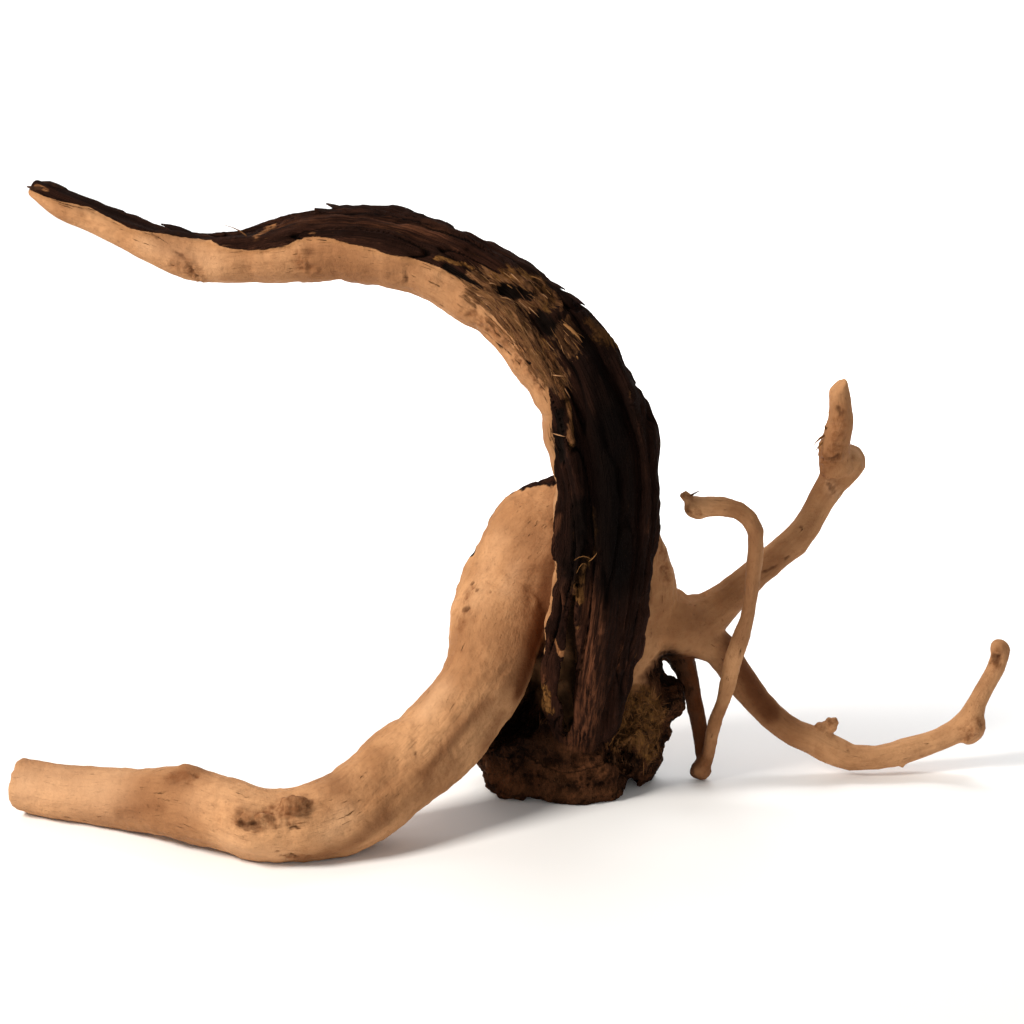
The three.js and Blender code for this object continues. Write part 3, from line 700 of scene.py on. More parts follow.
@dataclass(frozen=True)
class Depths:
    """How high the features of the wood stand, or how deep they lie, in mm."""

    waves: float = 0.62
    dents: float = 0.5
    ripples: float = 0.28
    grit: float = 0.13
    creases: float = 0.35
    bark: float = 0.45
    torn_ridges: float = 1.7
    torn_lumps: float = 0.9
    torn_floor: float = 1.2
    crumb_lumps: float = 2.4
    crumb_ridges: float = 1.6
    crumb_grit: float = 0.7
    crumb_floor: float = 2.0
    thin_fibre: float = 1.6
    thick_fibre: float = 2.2
    fibre_floor: float = 2.4
    eye: float = 1.7
    # How deep the shaded recess down the slab's front sinks; its colour is painted shade.
    shaded_recess: float = 1.2
    rough_ridges: float = 1.5
    rough_lumps: float = 0.5
    rough_floor: float = 1.25
    drift: float = 3.2
    flutes: float = 2.0
    flute_floor: float = 0.9
    cords: float = 1.3
    cord_floor: float = 0.5
    strands: float = 0.55
    strand_floor: float = 0.3
    flakes: float = 0.8
    splits: float = 2.3
    fray: float = 0.25


@dataclass
class GrownWood:
    """The whole root as one skin, with its relief and the places of its finishes, in mm."""

    cell: float = 0.86
    smoothing: int = 34
    pull: float = 0.62
    push: float = 0.633
    foot: float = 0.6
    margin: float = 0.02
    crest_rounds: int = 7
    crest_gain: float = 0.55
    rim_depth: float = 0.6
    left_cut: float = -27.0
    right_cut: float = 84.0
    right_lean: float = 0.35
    lean_below: float = 55.0
    level_cut: float = 106.0
    bark_back: float = -14.0
    edge_fray: float = 0.9
    bend: float = 1.1
    bend_size: float = 3.6
    depths: Depths = Depths()
    masks: dict[str, np.ndarray] = field(default_factory=dict)
    skin: np.ndarray | None = None
    turned: np.ndarray | None = None
    ahead: np.ndarray | None = None
    on_slab: np.ndarray | None = None
    room: tuple[Vector, Vector] | None = None

    def build(
        self, node: bpy.types.Object, low: Vector, high: Vector
    ) -> list[bpy.types.Object]:
        """Grows the finished skin from the solid.

        Args:
            node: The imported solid.
            low: Lowest corner of the room that the skin may take.
            high: Highest corner of that room.

        Returns:
            The new objects, with their attributes set.
        """
        obj = self._skin(node)
        mesh = obj.data
        count = len(mesh.vertices)
        flat = np.empty(count * 3)
        mesh.vertices.foreach_get("co", flat)
        points = flat.reshape(-1, 3) / MM
        pairs = np.empty(len(mesh.edges) * 2, dtype=np.int64)
        mesh.edges.foreach_get("vertices", pairs)
        pairs = pairs.reshape(-1, 2)
        points = self._smoothed(points, pairs)
        grain = GrainMap(points)
        self._place_masks(points, grain)
        normals = self._normals(mesh, points)
        relief = self._relief(points, grain)
        grown = points + normals * relief[:, None]
        flat_foot = np.minimum(grown[:, 2], points[:, 2])
        grown[:, 2] = np.where(points[:, 2] < self.foot, flat_foot, grown[:, 2])
        lowest, highest = np.array(low) / MM + self.margin, np.array(high) / MM - self.margin
        grown = np.clip(grown, lowest, highest)
        # How far each point lies sunk below its neighbours; the finish paints shade into the
        # hollows by it.
        crest = relief - self._blurred(relief, pairs, self.crest_rounds)
        self.masks["hollow"] = np.clip(0.5 - crest * self.crest_gain, 0, 1)
        turned = self._normals(mesh, grown)
        self.skin, self.turned, self.ahead = grown, turned, grain.ahead
        self.on_slab, self.room = grain.on(Limb.SLAB), (low, high)
        self._store(mesh, grain)
        mesh.shade_smooth()
        LOG.info("skin: %d faces", len(mesh.polygons))
        return self._divided(obj, turned)

    def _skin(self, node: bpy.types.Object) -> bpy.types.Object:
        """Copies the solid, merges its loose triangles and lays an even skin over it.

        Args:
            node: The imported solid.

        Returns:
            The new object.
        """
        weld = 2e-6
        mesh = node.data.copy()
        mesh.name = "wood_skin"
        mesh.materials.clear()
        body = bmesh.new()
        body.from_mesh(mesh)
        bmesh.ops.remove_doubles(body, verts=body.verts, dist=weld)
        body.to_mesh(mesh)
        body.free()
        obj = bpy.data.objects.new("wood_skin", mesh)
        bpy.context.scene.collection.objects.link(obj)
        pick_only(obj)
        remesh = obj.modifiers.new("even skin", "REMESH")
        remesh.mode = "VOXEL"
        remesh.voxel_size = self.cell * MM
        bpy.ops.object.modifier_apply(modifier=remesh.name)
        return obj

    def _divided(self, obj: bpy.types.Object, turned: np.ndarray) -> list[bpy.types.Object]:
        """Divides the skin and closes each part where it meets its neighbour.

        Args:
            obj: The whole skin.
            turned: The way the skin looks at each of its points.

        Returns:
            One closed object for each part.
        """
        mesh = obj.data
        made = mesh.attributes.new("turned", "FLOAT_VECTOR", "POINT")
        made.data.foreach_set("vector", turned.ravel())
        parts = []
        for share in Share:
            body = bmesh.new()
            body.from_mesh(mesh)
            middles = ((face, face.calc_center_median()) for face in body.faces)
            spare = [face for face, middle in middles if self._share_of(middle) != share]
            bmesh.ops.delete(body, geom=spare, context="FACES")
            self._close(body)
            for face in body.faces:
                face.smooth = True
            part_mesh = bpy.data.meshes.new(share.value)
            body.to_mesh(part_mesh)
            body.free()
            kept = np.empty(len(part_mesh.vertices) * 3)
            part_mesh.attributes["turned"].data.foreach_get("vector", kept)
            part_mesh.normals_split_custom_set_from_vertices(kept.reshape(-1, 3).tolist())
            part_mesh.attributes.remove(part_mesh.attributes["turned"])
            part = bpy.data.objects.new(share.value, part_mesh)
            bpy.context.scene.collection.objects.link(part)
            triangles = sum(len(face.vertices) - 2 for face in part_mesh.polygons)
            LOG.info("%s: %d triangles", share.value, triangles)
            parts.append(part)
        bpy.data.objects.remove(obj)
        bpy.data.meshes.remove(mesh)
        return parts

    def _close(self, body: bmesh.types.BMesh) -> None:
        """Turns the open rims inward and closes them under the skin.

        Args:
            body: One part of the skin, open where it was cut.
        """
        body.normal_update()
        rim = [edge for edge in body.edges if edge.is_boundary]
        made = bmesh.ops.extrude_edge_only(body, edges=rim)["geom"]
        for part in made:
            if isinstance(part, bmesh.types.BMVert):
                near = next(e.other_vert(part) for e in part.link_edges if not e.is_boundary)
                part.co = near.co - near.normal * self.rim_depth * MM
        inner = [edge for edge in body.edges if edge.is_boundary]
        bmesh.ops.holes_fill(body, edges=inner, sides=0)
        bmesh.ops.recalc_face_normals(body, faces=body.faces)

    def _share_of(self, place: Vector) -> Share:
        """Tells which part a place belongs to.

        Args:
            place: A place in metres.

        Returns:
            The part of the skin.
        """
        if place.x < self.left_cut * MM:
            return Share.LEFT
        lean = self.right_lean * max(0.0, self.lean_below - place.z / MM)
        if place.x > (self.right_cut + lean) * MM:
            return Share.RIGHT
        return Share.UPPER if place.z > self.level_cut * MM else Share.LOWER

    @staticmethod
    def _blurred(values: np.ndarray, pairs: np.ndarray, rounds: int) -> np.ndarray:
        """Spreads values over neighbouring points.

        Args:
            values: One value for each point.
            pairs: Joined points.
            rounds: How many times to spread them.

        Returns:
            The spread values.
        """
        own = 0.4
        ends = np.concatenate([pairs, pairs[:, ::-1]])
        links = np.bincount(ends[:, 0], minlength=len(values))
        for _ in range(rounds):
            around = np.bincount(ends[:, 0], weights=values[ends[:, 1]], minlength=len(links))
            values = values * own + around / links * (1 - own)
        return values

    def _smoothed(self, points: np.ndarray, pairs: np.ndarray) -> np.ndarray:
        """Eases the facets out without shrinking the thin limbs.

        Args:
            points: Points in mm.
            pairs: Joined points.

        Returns:
            The eased points.
        """
        count = len(points)
        ends = np.concatenate([pairs, pairs[:, ::-1]])
        links = np.bincount(ends[:, 0], minlength=count)[:, None]
        soft = points.copy()
        for turn in range(self.smoothing * 2):
            total = np.column_stack(
                [
                    np.bincount(ends[:, 0], weights=soft[ends[:, 1], axis], minlength=count)
                    for axis in range(3)
                ]
            )
            soft += (total / links - soft) * (self.pull if turn % 2 == 0 else -self.push)
        soft[:, 2] = np.maximum(soft[:, 2], 0.0)
        return soft

    @staticmethod
    def _normals(mesh: bpy.types.Mesh, points: np.ndarray) -> np.ndarray:
        """Sets the points in the mesh and gives the way the skin looks at each.

        Args:
            mesh: The mesh to set.
            points: Points in mm.

        Returns:
            One unit vector for each point.
        """
        mesh.vertices.foreach_set("co", (points * MM).ravel())
        mesh.update()
        out = np.empty(len(points) * 3)
        mesh.vertex_normals.foreach_get("vector", out)
        return out.reshape(-1, 3)

    def _place_masks(self, points: np.ndarray, grain: GrainMap) -> None:
        """Works out where each finish lies and keeps it as masks.

        Args:
            points: Points in mm.
            grain: Where they lie along their limbs.
        """
        long_rag = Noise(3).layered(grain.place / np.array([20, 3.0, 3.0]), 3)
        rag = Noise(5).layered(points / 5, 3) * 0.3
        slab = grain.on(Limb.SLAB)
        scale = grain.girth * math.pi / 180
        left = (table_at(BARK_EDGE, grain.place[:, 0]) - grain.angle) * scale
        right = (grain.angle - self.bark_back) * scale
        edge = np.minimum(left, right)
        fray = self.edge_fray
        bark = np.where(slab, eased(-fray, fray, edge + long_rag * fray), 0)
        masks = {
            name: self._painted(marks, points, rag)
            for name, marks in (
                ("golden", GOLDEN_MARKS),
                ("torn", TORN_MARKS),
                ("eye", EYE_MARKS),
                ("red", RED_MARKS),
                ("shaded_recess", SHADED_RECESS_MARKS),
                ("rot", ROT_MARKS),
            )
        }
        bent = self._bent(points)
        masks["pit"] = self._painted(PIT_MARKS, bent, rag)
        masks["rough"] = self._painted(ROUGH_MARKS, bent, rag * 1.5)
        masks["bare"] = self._painted(BARE_MARKS, points * 0.45 + bent * 0.55, rag * 1.7)
        for name, marks in (
            ("soft_cloud", STAIN_AND_SHADE_MARKS),
            ("char_and_shade", CHAR_AND_SHADE_MARKS),
            ("lit_and_pale", LIT_AND_PALE_MARKS),
            ("warm", WARM_MARKS),
        ):
            masks[name] = np.zeros(len(points))
            for mark in marks:
                mark.soft_cloud(masks[name], points)
        masks["char_and_shade"] *= slab
        masks["torn"] *= slab
        masks["soft_cloud"] *= np.where(slab, eased(-5.0, -60.0, points[:, 0]), 1)
        masks["rot"] *= 1 - masks["golden"]
        remnant = self._painted(REMNANT_MARKS, points, rag * 1.4)
        masks["bark"] = np.maximum(bark, remnant * ~slab)
        masks["rim"] = np.where(slab, np.exp(-((edge + fray) ** 2) / fray), 0)
        masks["clear"] = grain.clear
        self.masks = masks

    def _bent(self, points: np.ndarray) -> np.ndarray:
        """Shifts places a little, so that small marks laid by them turn out crooked."""
        shift = [Noise(seed).layered(points / self.bend_size, 2) for seed in (71, 72, 73)]
        return points + np.column_stack(shift) * self.bend

    @staticmethod
    def _painted(marks: tuple[Mark, ...], points: np.ndarray, rag: np.ndarray) -> np.ndarray:
        """Paints strokes into a fresh mask.

        Args:
            marks: The strokes.
            points: Points in mm.
            rag: How far the strokes' edges are pushed in at each point.

        Returns:
            The mask.
        """
        mask = np.zeros(len(points))
        for mark in marks:
            mark.paint(mask, points, rag)
        return mask

    def _relief(self, points: np.ndarray, grain: GrainMap) -> np.ndarray:
        """Gives how far to raise or sink each point, in mm.

        Args:
            points: Points in mm.
            grain: Where they lie along their limbs.

        Returns:
            One height for each point.
        """
        m, d = self.masks, self.depths
        drift = Noise(9).at(grain.place / np.array([42, 13, 13])) * d.drift
        place = grain.place + np.column_stack([0 * drift, drift, drift * 0.6])
        thin = np.clip(grain.girth / 14, 0.3, 1)
        slab = grain.on(Limb.SLAB)
        pale = Noise(11).layered(points / 13, 2) * d.waves * thin
        pale -= eased(0.35, 0.8, Noise(14).at(points / 6.5)) * d.dents * thin
        pale += Noise(12).at(place / np.array([24, 4.2, 4.2])) * d.ripples * grain.clear * thin
        pale += Noise(13).layered(points / 3.2, 2) * d.grit * thin
        pale += Noise(15).ridged(points / 9) ** 3 * d.creases * thin
        height = pale * (1 - m["rot"])
        bark = self._bark_relief(place, points) * np.where(slab, thin, 0.5)
        height += m["bark"] * (bark + d.bark * thin)
        torn = Noise(31).ridged(place / np.array([12, 1.5, 1.5])) * d.torn_ridges - d.torn_floor
        torn += Noise(32).layered(points / 4.5, 2) * d.torn_lumps
        height = height * (1 - m["torn"]) + m["torn"] * torn
        crumb = Noise(41).layered(points / 7, 2) * d.crumb_lumps
        crumb += Noise(42).ridged(points / 3.2) * d.crumb_ridges
        crumb += Noise(43).ridged(points / 1.5) * d.crumb_grit - d.crumb_floor
        height = height * (1 - m["rot"]) + m["rot"] * crumb
        fibre = Noise(51).ridged(points / np.array([2.0, 2.0, 6])) * d.thin_fibre
        broad = Noise(52).ridged(points / np.array([4.5, 4.5, 7]))
        fibre += broad * d.thick_fibre - d.fibre_floor
        height += m["golden"] * np.where(slab, 0.35, 1.0) * fibre
        height -= m["eye"] * d.eye + m["shaded_recess"] * slab * d.shaded_recess
        bent = self._bent(points)
        for mark in PIT_MARKS:
            mark.swell(height, bent, -1.0)
        coarse = Noise(74).ridged(points / 2.6) * d.rough_ridges
        coarse += Noise(75).layered(points / 1.7, 2) * d.rough_lumps
        height += m["rough"] * (coarse - d.rough_floor) * np.clip(thin + 0.3, 0, 1) * 1.15
        rough = 1 + 0.6 * Noise(61).layered(points / 2.6, 2)
        knots = np.zeros(len(points))
        for mark in KNOT_MARKS:
            mark.swell(knots, bent, 1.0)
        return height + knots * rough

    def _bark_relief(self, place: np.ndarray, points: np.ndarray) -> np.ndarray:
        """Gives the bark's flutes, cords, flakes and splits, in mm.

        Args:
            place: Places along and across the grain.
            points: Points in mm.

        Returns:
            One height for each point.
        """
        d = self.depths
        lively = eased(-0.35, 0.5, Noise(20).at(place / np.array([55, 16, 16])))
        flutes = Noise(21).ridged(place / np.array([85, 8.5, 8.5])) ** 2
        flutes = flutes * d.flutes - d.flute_floor
        cords = Noise(22).ridged(place / np.array([34, 3.1, 3.1])) ** 2 * d.cords - d.cord_floor
        strands = Noise(23).ridged(place / np.array([17, 1.35, 1.35]))
        strands = strands * d.strands - d.strand_floor
        flakes = Noise(24).layered(place / np.array([24, 5.5, 5.5]), 2)
        flakes = eased(-0.05, 0.06, flakes) * d.flakes
        splits = Noise(25).ridged(place / np.array([52, 6.2, 6.2]))
        splits = eased(0.9, 0.99, splits) * d.splits
        fray = Noise(26).layered(points / 3.0, 2) * d.fray
        fine = cords + strands + flakes + fray
        return flutes * 0.8 + fine * (0.35 + 0.65 * lively) - splits

    def _store(self, mesh: bpy.types.Mesh, grain: GrainMap) -> None:
        """Keeps the grain and the finishes' places as attributes of the mesh.

        Args:
            mesh: The skin's mesh.
            grain: Where its points lie along their limbs.
        """
        made = mesh.attributes.new("grain", "FLOAT_VECTOR", "POINT")
        offset = grain.limb[:, None] * np.array([91.0, 37.0, 53.0])
        made.data.foreach_set("vector", (grain.place + offset).ravel())
        for name, values in self.masks.items():
            made = mesh.attributes.new(name, "FLOAT", "POINT")
            made.data.foreach_set("value", values.astype(np.float32))


def pick_only(obj: bpy.types.Object) -> None:
    """Selects one object alone and makes it the active one.

    Args:
        obj: The object to select.
    """
    bpy.ops.object.select_all(action="DESELECT")
    obj.select_set(True)
    bpy.context.view_layer.objects.active = obj


def rgba(colour: tuple[float, float, float]) -> tuple[float, float, float, float]:
    """Gives a colour its alpha."""
    return (*colour, 1.0)


@dataclass(frozen=True)
class Tint:
    """A colour that lies over the wood, and how strongly. Colours are linear."""

    colour: tuple[float, float, float]
    strength: float = 1.0


@dataclass(frozen=True)
class Speckle:
    """A noise pattern: its scale and make, and the values where it starts and is full.

    It lies on the object's own coordinates, or where laid is given along the grain,
    which laid stretches.
    """

    scale: float
    detail: float
    rough: float
    low: float
    high: float
    laid: tuple[float, float, float] | None = None


@dataclass(frozen=True)
class Skin:
    """What the finishes read of the skin: its grain, its hollows and grooves, where shade is
    painted, clear places and place.
    """

    grain: bpy.types.NodeSocket
    hollow: bpy.types.NodeSocket
    clear: bpy.types.NodeSocket
    place: bpy.types.NodeSocket


class NodeBench:
    """A small bench for laying out shader nodes by name."""

    def __init__(self, tree: bpy.types.NodeTree) -> None:
        """Keeps the node tree to work on."""
        self.tree = tree

    def add(self, kind: str, **settings: object) -> bpy.types.Node:
        """Adds a node.

        Args:
            kind: The node's type.
            **settings: Its properties and their values.

        Returns:
            The node.
        """
        node = self.tree.nodes.new(kind)
        for name, value in settings.items():
            setattr(node, name, value)
        return node

    def feed(self, source: object, socket: bpy.types.NodeSocket) -> None:
        """Feeds an input.

        Args:
            source: An output to link, or a plain value to set.
            socket: The input.
        """
        if isinstance(source, bpy.types.NodeSocket):
            self.tree.links.new(source, socket)
        else:
            socket.default_value = source

    def wire(
        self, node: bpy.types.Node, values: dict[int | str, object], out: int | str
    ) -> bpy.types.NodeSocket:
        """Feeds a node's inputs.

        Args:
            node: The node.
            values: What each input takes, by its number or name.
            out: The number or name of the output that is wanted.

        Returns:
            That output.
        """
        for key, value in values.items():
            self.feed(value, node.inputs[key])
        return node.outputs[out]

    def maths(self, operation: str, *values: object, clamp: bool = False) -> bpy.types.NodeSocket:
        """Adds a Math node over the values."""
        node = self.add("ShaderNodeMath", operation=operation, use_clamp=clamp)
        return self.wire(node, dict(enumerate(values)), 0)

    def product(self, *values: object) -> bpy.types.NodeSocket:
        """Multiplies two values."""
        return self.maths("MULTIPLY", *values)

    def stretch(self, vector: object, scale: object) -> bpy.types.NodeSocket:
        """Multiplies a vector by three numbers."""
        node = self.add("ShaderNodeVectorMath", operation="MULTIPLY")
        return self.wire(node, {0: vector, 1: scale}, 0)

    def noise(
        self, vector: object, scale: object, detail: float = 3.0, rough: float = 0.55
    ) -> bpy.types.NodeSocket:
        """Adds a Noise Texture and gives its value."""
        values = {"Vector": vector, "Scale": scale, "Detail": detail, "Roughness": rough}
        return self.wire(self.add("ShaderNodeTexNoise"), values, "Fac")

    def ramp(self, value: object, low: object, high: object) -> bpy.types.NodeSocket:
        """Maps a value to 0 below low and 1 above high, with a soft step."""
        node = self.add("ShaderNodeMapRange", interpolation_type="SMOOTHSTEP")
        return self.wire(node, {"Value": value, "From Min": low, "From Max": high}, "Result")

    def mix(self, share: object, first: object, second: object) -> bpy.types.NodeSocket:
        """Mixes two colours by a share."""
        node = self.add("ShaderNodeMix", data_type="RGBA")
        return self.wire(node, {0: share, 6: first, 7: second}, 2)

    def blend(self, share: object, first: object, second: object) -> bpy.types.NodeSocket:
        """Mixes two numbers by a share."""
        node = self.add("ShaderNodeMix", data_type="FLOAT")
        return self.wire(node, {0: share, 2: first, 3: second}, 0)

    def attribute(self, name: str, vector: bool = False) -> bpy.types.NodeSocket:
        """Reads an attribute of the mesh."""
        node = self.add("ShaderNodeAttribute", attribute_name=name)
        return node.outputs["Vector" if vector else "Fac"]

    def tint(self, colour: object, share: object, tint: Tint) -> bpy.types.NodeSocket:
        """Lays a tint over a colour, by a share of the tint's strength."""
        strength = self.maths("MULTIPLY", share, tint.strength, clamp=True)
        return self.mix(strength, colour, rgba(tint.colour))

    def speckle(self, skin: Skin, spots: Speckle) -> bpy.types.NodeSocket:
        """Lays out a speckle on the skin."""
        vector = self.stretch(skin.grain, spots.laid) if spots.laid else skin.place
        value = self.noise(vector, spots.scale, spots.detail, spots.rough)
        return self.ramp(value, spots.low, spots.high)


def new_group(name: str, takes: dict[str, str], gives: dict[str, str]) -> bpy.types.NodeTree:
    """Starts a shader node group with named sockets.

    Args:
        name: The group's name.
        takes: Input names and their socket types.
        gives: Output names and their socket types.

    Returns:
        The group, with its input and output nodes placed.
    """
    group = bpy.data.node_groups.new(name, "ShaderNodeTree")
    for label, kind in takes.items():
        group.interface.new_socket(label, in_out="INPUT", socket_type=kind)
    for label, kind in gives.items():
        group.interface.new_socket(label, in_out="OUTPUT", socket_type=kind)
    group.nodes.new("NodeGroupInput")
    group.nodes.new("NodeGroupOutput")
    return group


def ends_of(group: bpy.types.NodeTree) -> tuple[bpy.types.Node, bpy.types.Node]:
    """Gives a group's input and output nodes."""
    kinds = {node.type: node for node in group.nodes}
    return kinds["GROUP_INPUT"], kinds["GROUP_OUTPUT"]


FLOAT = "NodeSocketFloat"
VECTOR = "NodeSocketVector"


def grain_group() -> bpy.types.NodeTree:
    """Builds the group that draws streaks and pores along the grain.

    Returns:
        The group.
    """
    group = new_group(
        "grain streaks",
        {"Grain": VECTOR, "Width": FLOAT, "Length": FLOAT},
        {"Streak": FLOAT, "Thread": FLOAT, "Pore": FLOAT},
    )
    bench = NodeBench(group)
    takes, gives = ends_of(group)
    across = bench.maths("DIVIDE", 1.0, takes.outputs["Width"])
    along = bench.maths("DIVIDE", 1.0, takes.outputs["Length"])
    scale = bench.add("ShaderNodeCombineXYZ")
    bench.feed(along, scale.inputs[0])
    bench.feed(across, scale.inputs[1])
    bench.feed(across, scale.inputs[2])
    laid = bench.stretch(takes.outputs["Grain"], scale.outputs[0])
    bench.feed(bench.noise(laid, 0.28, 4, 0.6), gives.inputs["Streak"])
    bench.feed(bench.noise(laid, 1.3, 3, 0.6), gives.inputs["Thread"])
    fine = bench.noise(laid, 2.6, 2, 0.5)
    bench.feed(bench.ramp(fine, 0.64, 0.76), gives.inputs["Pore"])
    return group


def rag_group() -> bpy.types.NodeTree:
    """Builds the group that gives a soft patch a ragged edge along the grain.

    Returns:
        The group.
    """
    group = new_group(
        "ragged patch",
        {"Patch": FLOAT, "Grain": VECTOR, "Rag": FLOAT, "Soft": FLOAT},
        {"Share": FLOAT},
    )
    bench = NodeBench(group)
    takes, gives = ends_of(group)
    laid = bench.stretch(takes.outputs["Grain"], (0.09, 0.75, 0.75))
    drift = bench.maths("SUBTRACT", bench.noise(laid, 1.0, 5, 0.65), 0.5)
    moved = bench.maths("MULTIPLY_ADD", drift, takes.outputs["Rag"], takes.outputs["Patch"])
    low = bench.maths("SUBTRACT", 0.5, takes.outputs["Soft"])
    high = bench.maths("ADD", 0.5, takes.outputs["Soft"])
    bench.feed(bench.ramp(moved, low, high), gives.inputs["Share"])
    return group


@dataclass(frozen=True)
class WoodFinish:
    """Colours and surface of one state of the wood. Colours are linear."""

    light: tuple[float, float, float]
    mid: tuple[float, float, float]
    deep: tuple[float, float, float]
    roughness: float
    width: float
    length: float
    relief: float


PALE = WoodFinish(
    (0.54, 0.282, 0.132), (0.375, 0.18, 0.078), (0.15, 0.062, 0.028), 0.6, 1.1, 16, 0.25
)
BARK = WoodFinish(
    (0.042, 0.0155, 0.009), (0.0125, 0.0048, 0.003), (0.002, 0.001, 0.0007), 0.75, 0.8, 26, 1.0
)
TORN = WoodFinish(
    (0.33, 0.15, 0.064), (0.13, 0.052, 0.02), (0.018, 0.008, 0.004), 0.85, 0.7, 12, 1.0
)
ROT = WoodFinish(
    (0.098, 0.037, 0.016), (0.026, 0.010, 0.005), (0.003, 0.0015, 0.001), 0.92, 2.2, 4, 1.0
)
GOLDEN = WoodFinish(
    (0.27, 0.125, 0.038), (0.12, 0.048, 0.014), (0.018, 0.007, 0.003), 0.88, 1.2, 6, 1.0
)

# Clouds, flecks, freckles and rust of the pale wood, laid one over the other.
PALE_SPECKLES = (
    (Speckle(13.0, 4, 0.6, 0.4, 0.68), Tint((0.25, 0.11, 0.048), 0.5)),
    (Speckle(140.0, 4, 0.65, 0.5, 0.72), Tint((0.24, 0.10, 0.042), 0.3)),
    (Speckle(420.0, 3, 0.6, 0.52, 0.7), Tint((0.20, 0.085, 0.036), 0.2)),
    (Speckle(55.0, 5, 0.7, 0.6, 0.75), Tint((0.42, 0.19, 0.08), 0.45)),
)
MOTTLE = Speckle(26.0, 4, 0.6, 0.36, 0.66)
CRUMBS = Speckle(330.0, 4, 0.65, 0.36, 0.66)
# Dark gaps between crumbs and fibres, painted as shade.
GAPS = Speckle(190.0, 5, 0.7, 0.47, 0.6)
TORN_GAPS = Speckle(1.0, 5, 0.65, 0.47, 0.6, (0.11, 0.95, 0.95))
BARE_STREAKS = Speckle(1.0, 4, 0.65, 0.4, 0.62, (0.12, 0.9, 0.9))
RIDGE_PATCHES = Speckle(1.0, 5, 0.7, 0.54, 0.7, (0.03, 0.42, 0.42))
RED_STREAKS = Speckle(1.0, 4, 0.65, 0.4, 0.64, (0.045, 0.8, 0.8))

PORE = Tint((0.16, 0.075, 0.035), 0.16)
# Painted light, with the paler cut face at the end of the upper limb.
LIT_AND_PALE = Tint((0.70, 0.42, 0.235), 0.5)
# Real stains and painted shade; the deeper tint falls where the mask is strongest, mostly painted
# shade.
STAIN_AND_SHADE = Tint((0.16, 0.062, 0.025), 0.8)
DEEP_STAIN_AND_SHADE = Tint((0.075, 0.022, 0.007), 0.85)
CRUMB = Tint((0.17, 0.062, 0.023))
RUSTY_EDGE = Tint((0.085, 0.034, 0.016), 0.9)
AMBER_EDGE = Tint((0.14, 0.06, 0.02), 0.85)
# Painted shade in the gaps between torn fibres.
TORN_GAP_SHADE = Tint((0.045, 0.017, 0.007), 0.7)
# A darker band on the pale wood along the bark's edge.
BARK_EDGE_BAND = Tint((0.30, 0.14, 0.055), 0.55)
# Lighter crests of the bark: worn reddish wood and painted highlight.
WORN_AND_LIT_RIDGE = Tint((0.115, 0.043, 0.022), 0.6)
RED_WOOD = Tint((0.18, 0.066, 0.031), 0.85)
ORANGE, BROWN = (0.38, 0.165, 0.066), (0.10, 0.038, 0.015)
WARM = Tint((0.17, 0.065, 0.026), 0.45)
# Painted shade, near black, in the deep recesses.
RECESS_SHADE = Tint((0.006, 0.0035, 0.0025), 0.93)
# Partly charred bark, partly painted shade.
CHAR_AND_SHADE = Tint((0.0035, 0.0018, 0.0013))
# Painted shade, near black, in the sunk eyes and slits.
EYE_SHADE = Tint((0.006, 0.0035, 0.0025))
# Darker pits and creases: painted shade in them, with some real dark flecks.
PIT_SHADE = Tint((0.075, 0.028, 0.012), 0.6)


def start_material(name: str) -> tuple[bpy.types.Material, NodeBench, bpy.types.Node]:
    """Starts a material.

    Args:
        name: The material's name.

    Returns:
        The material, its bench and its shader.
    """
    material = bpy.data.materials.new(name)
    material.use_nodes = True
    bench = NodeBench(material.node_tree)
    return material, bench, material.node_tree.nodes["Principled BSDF"]


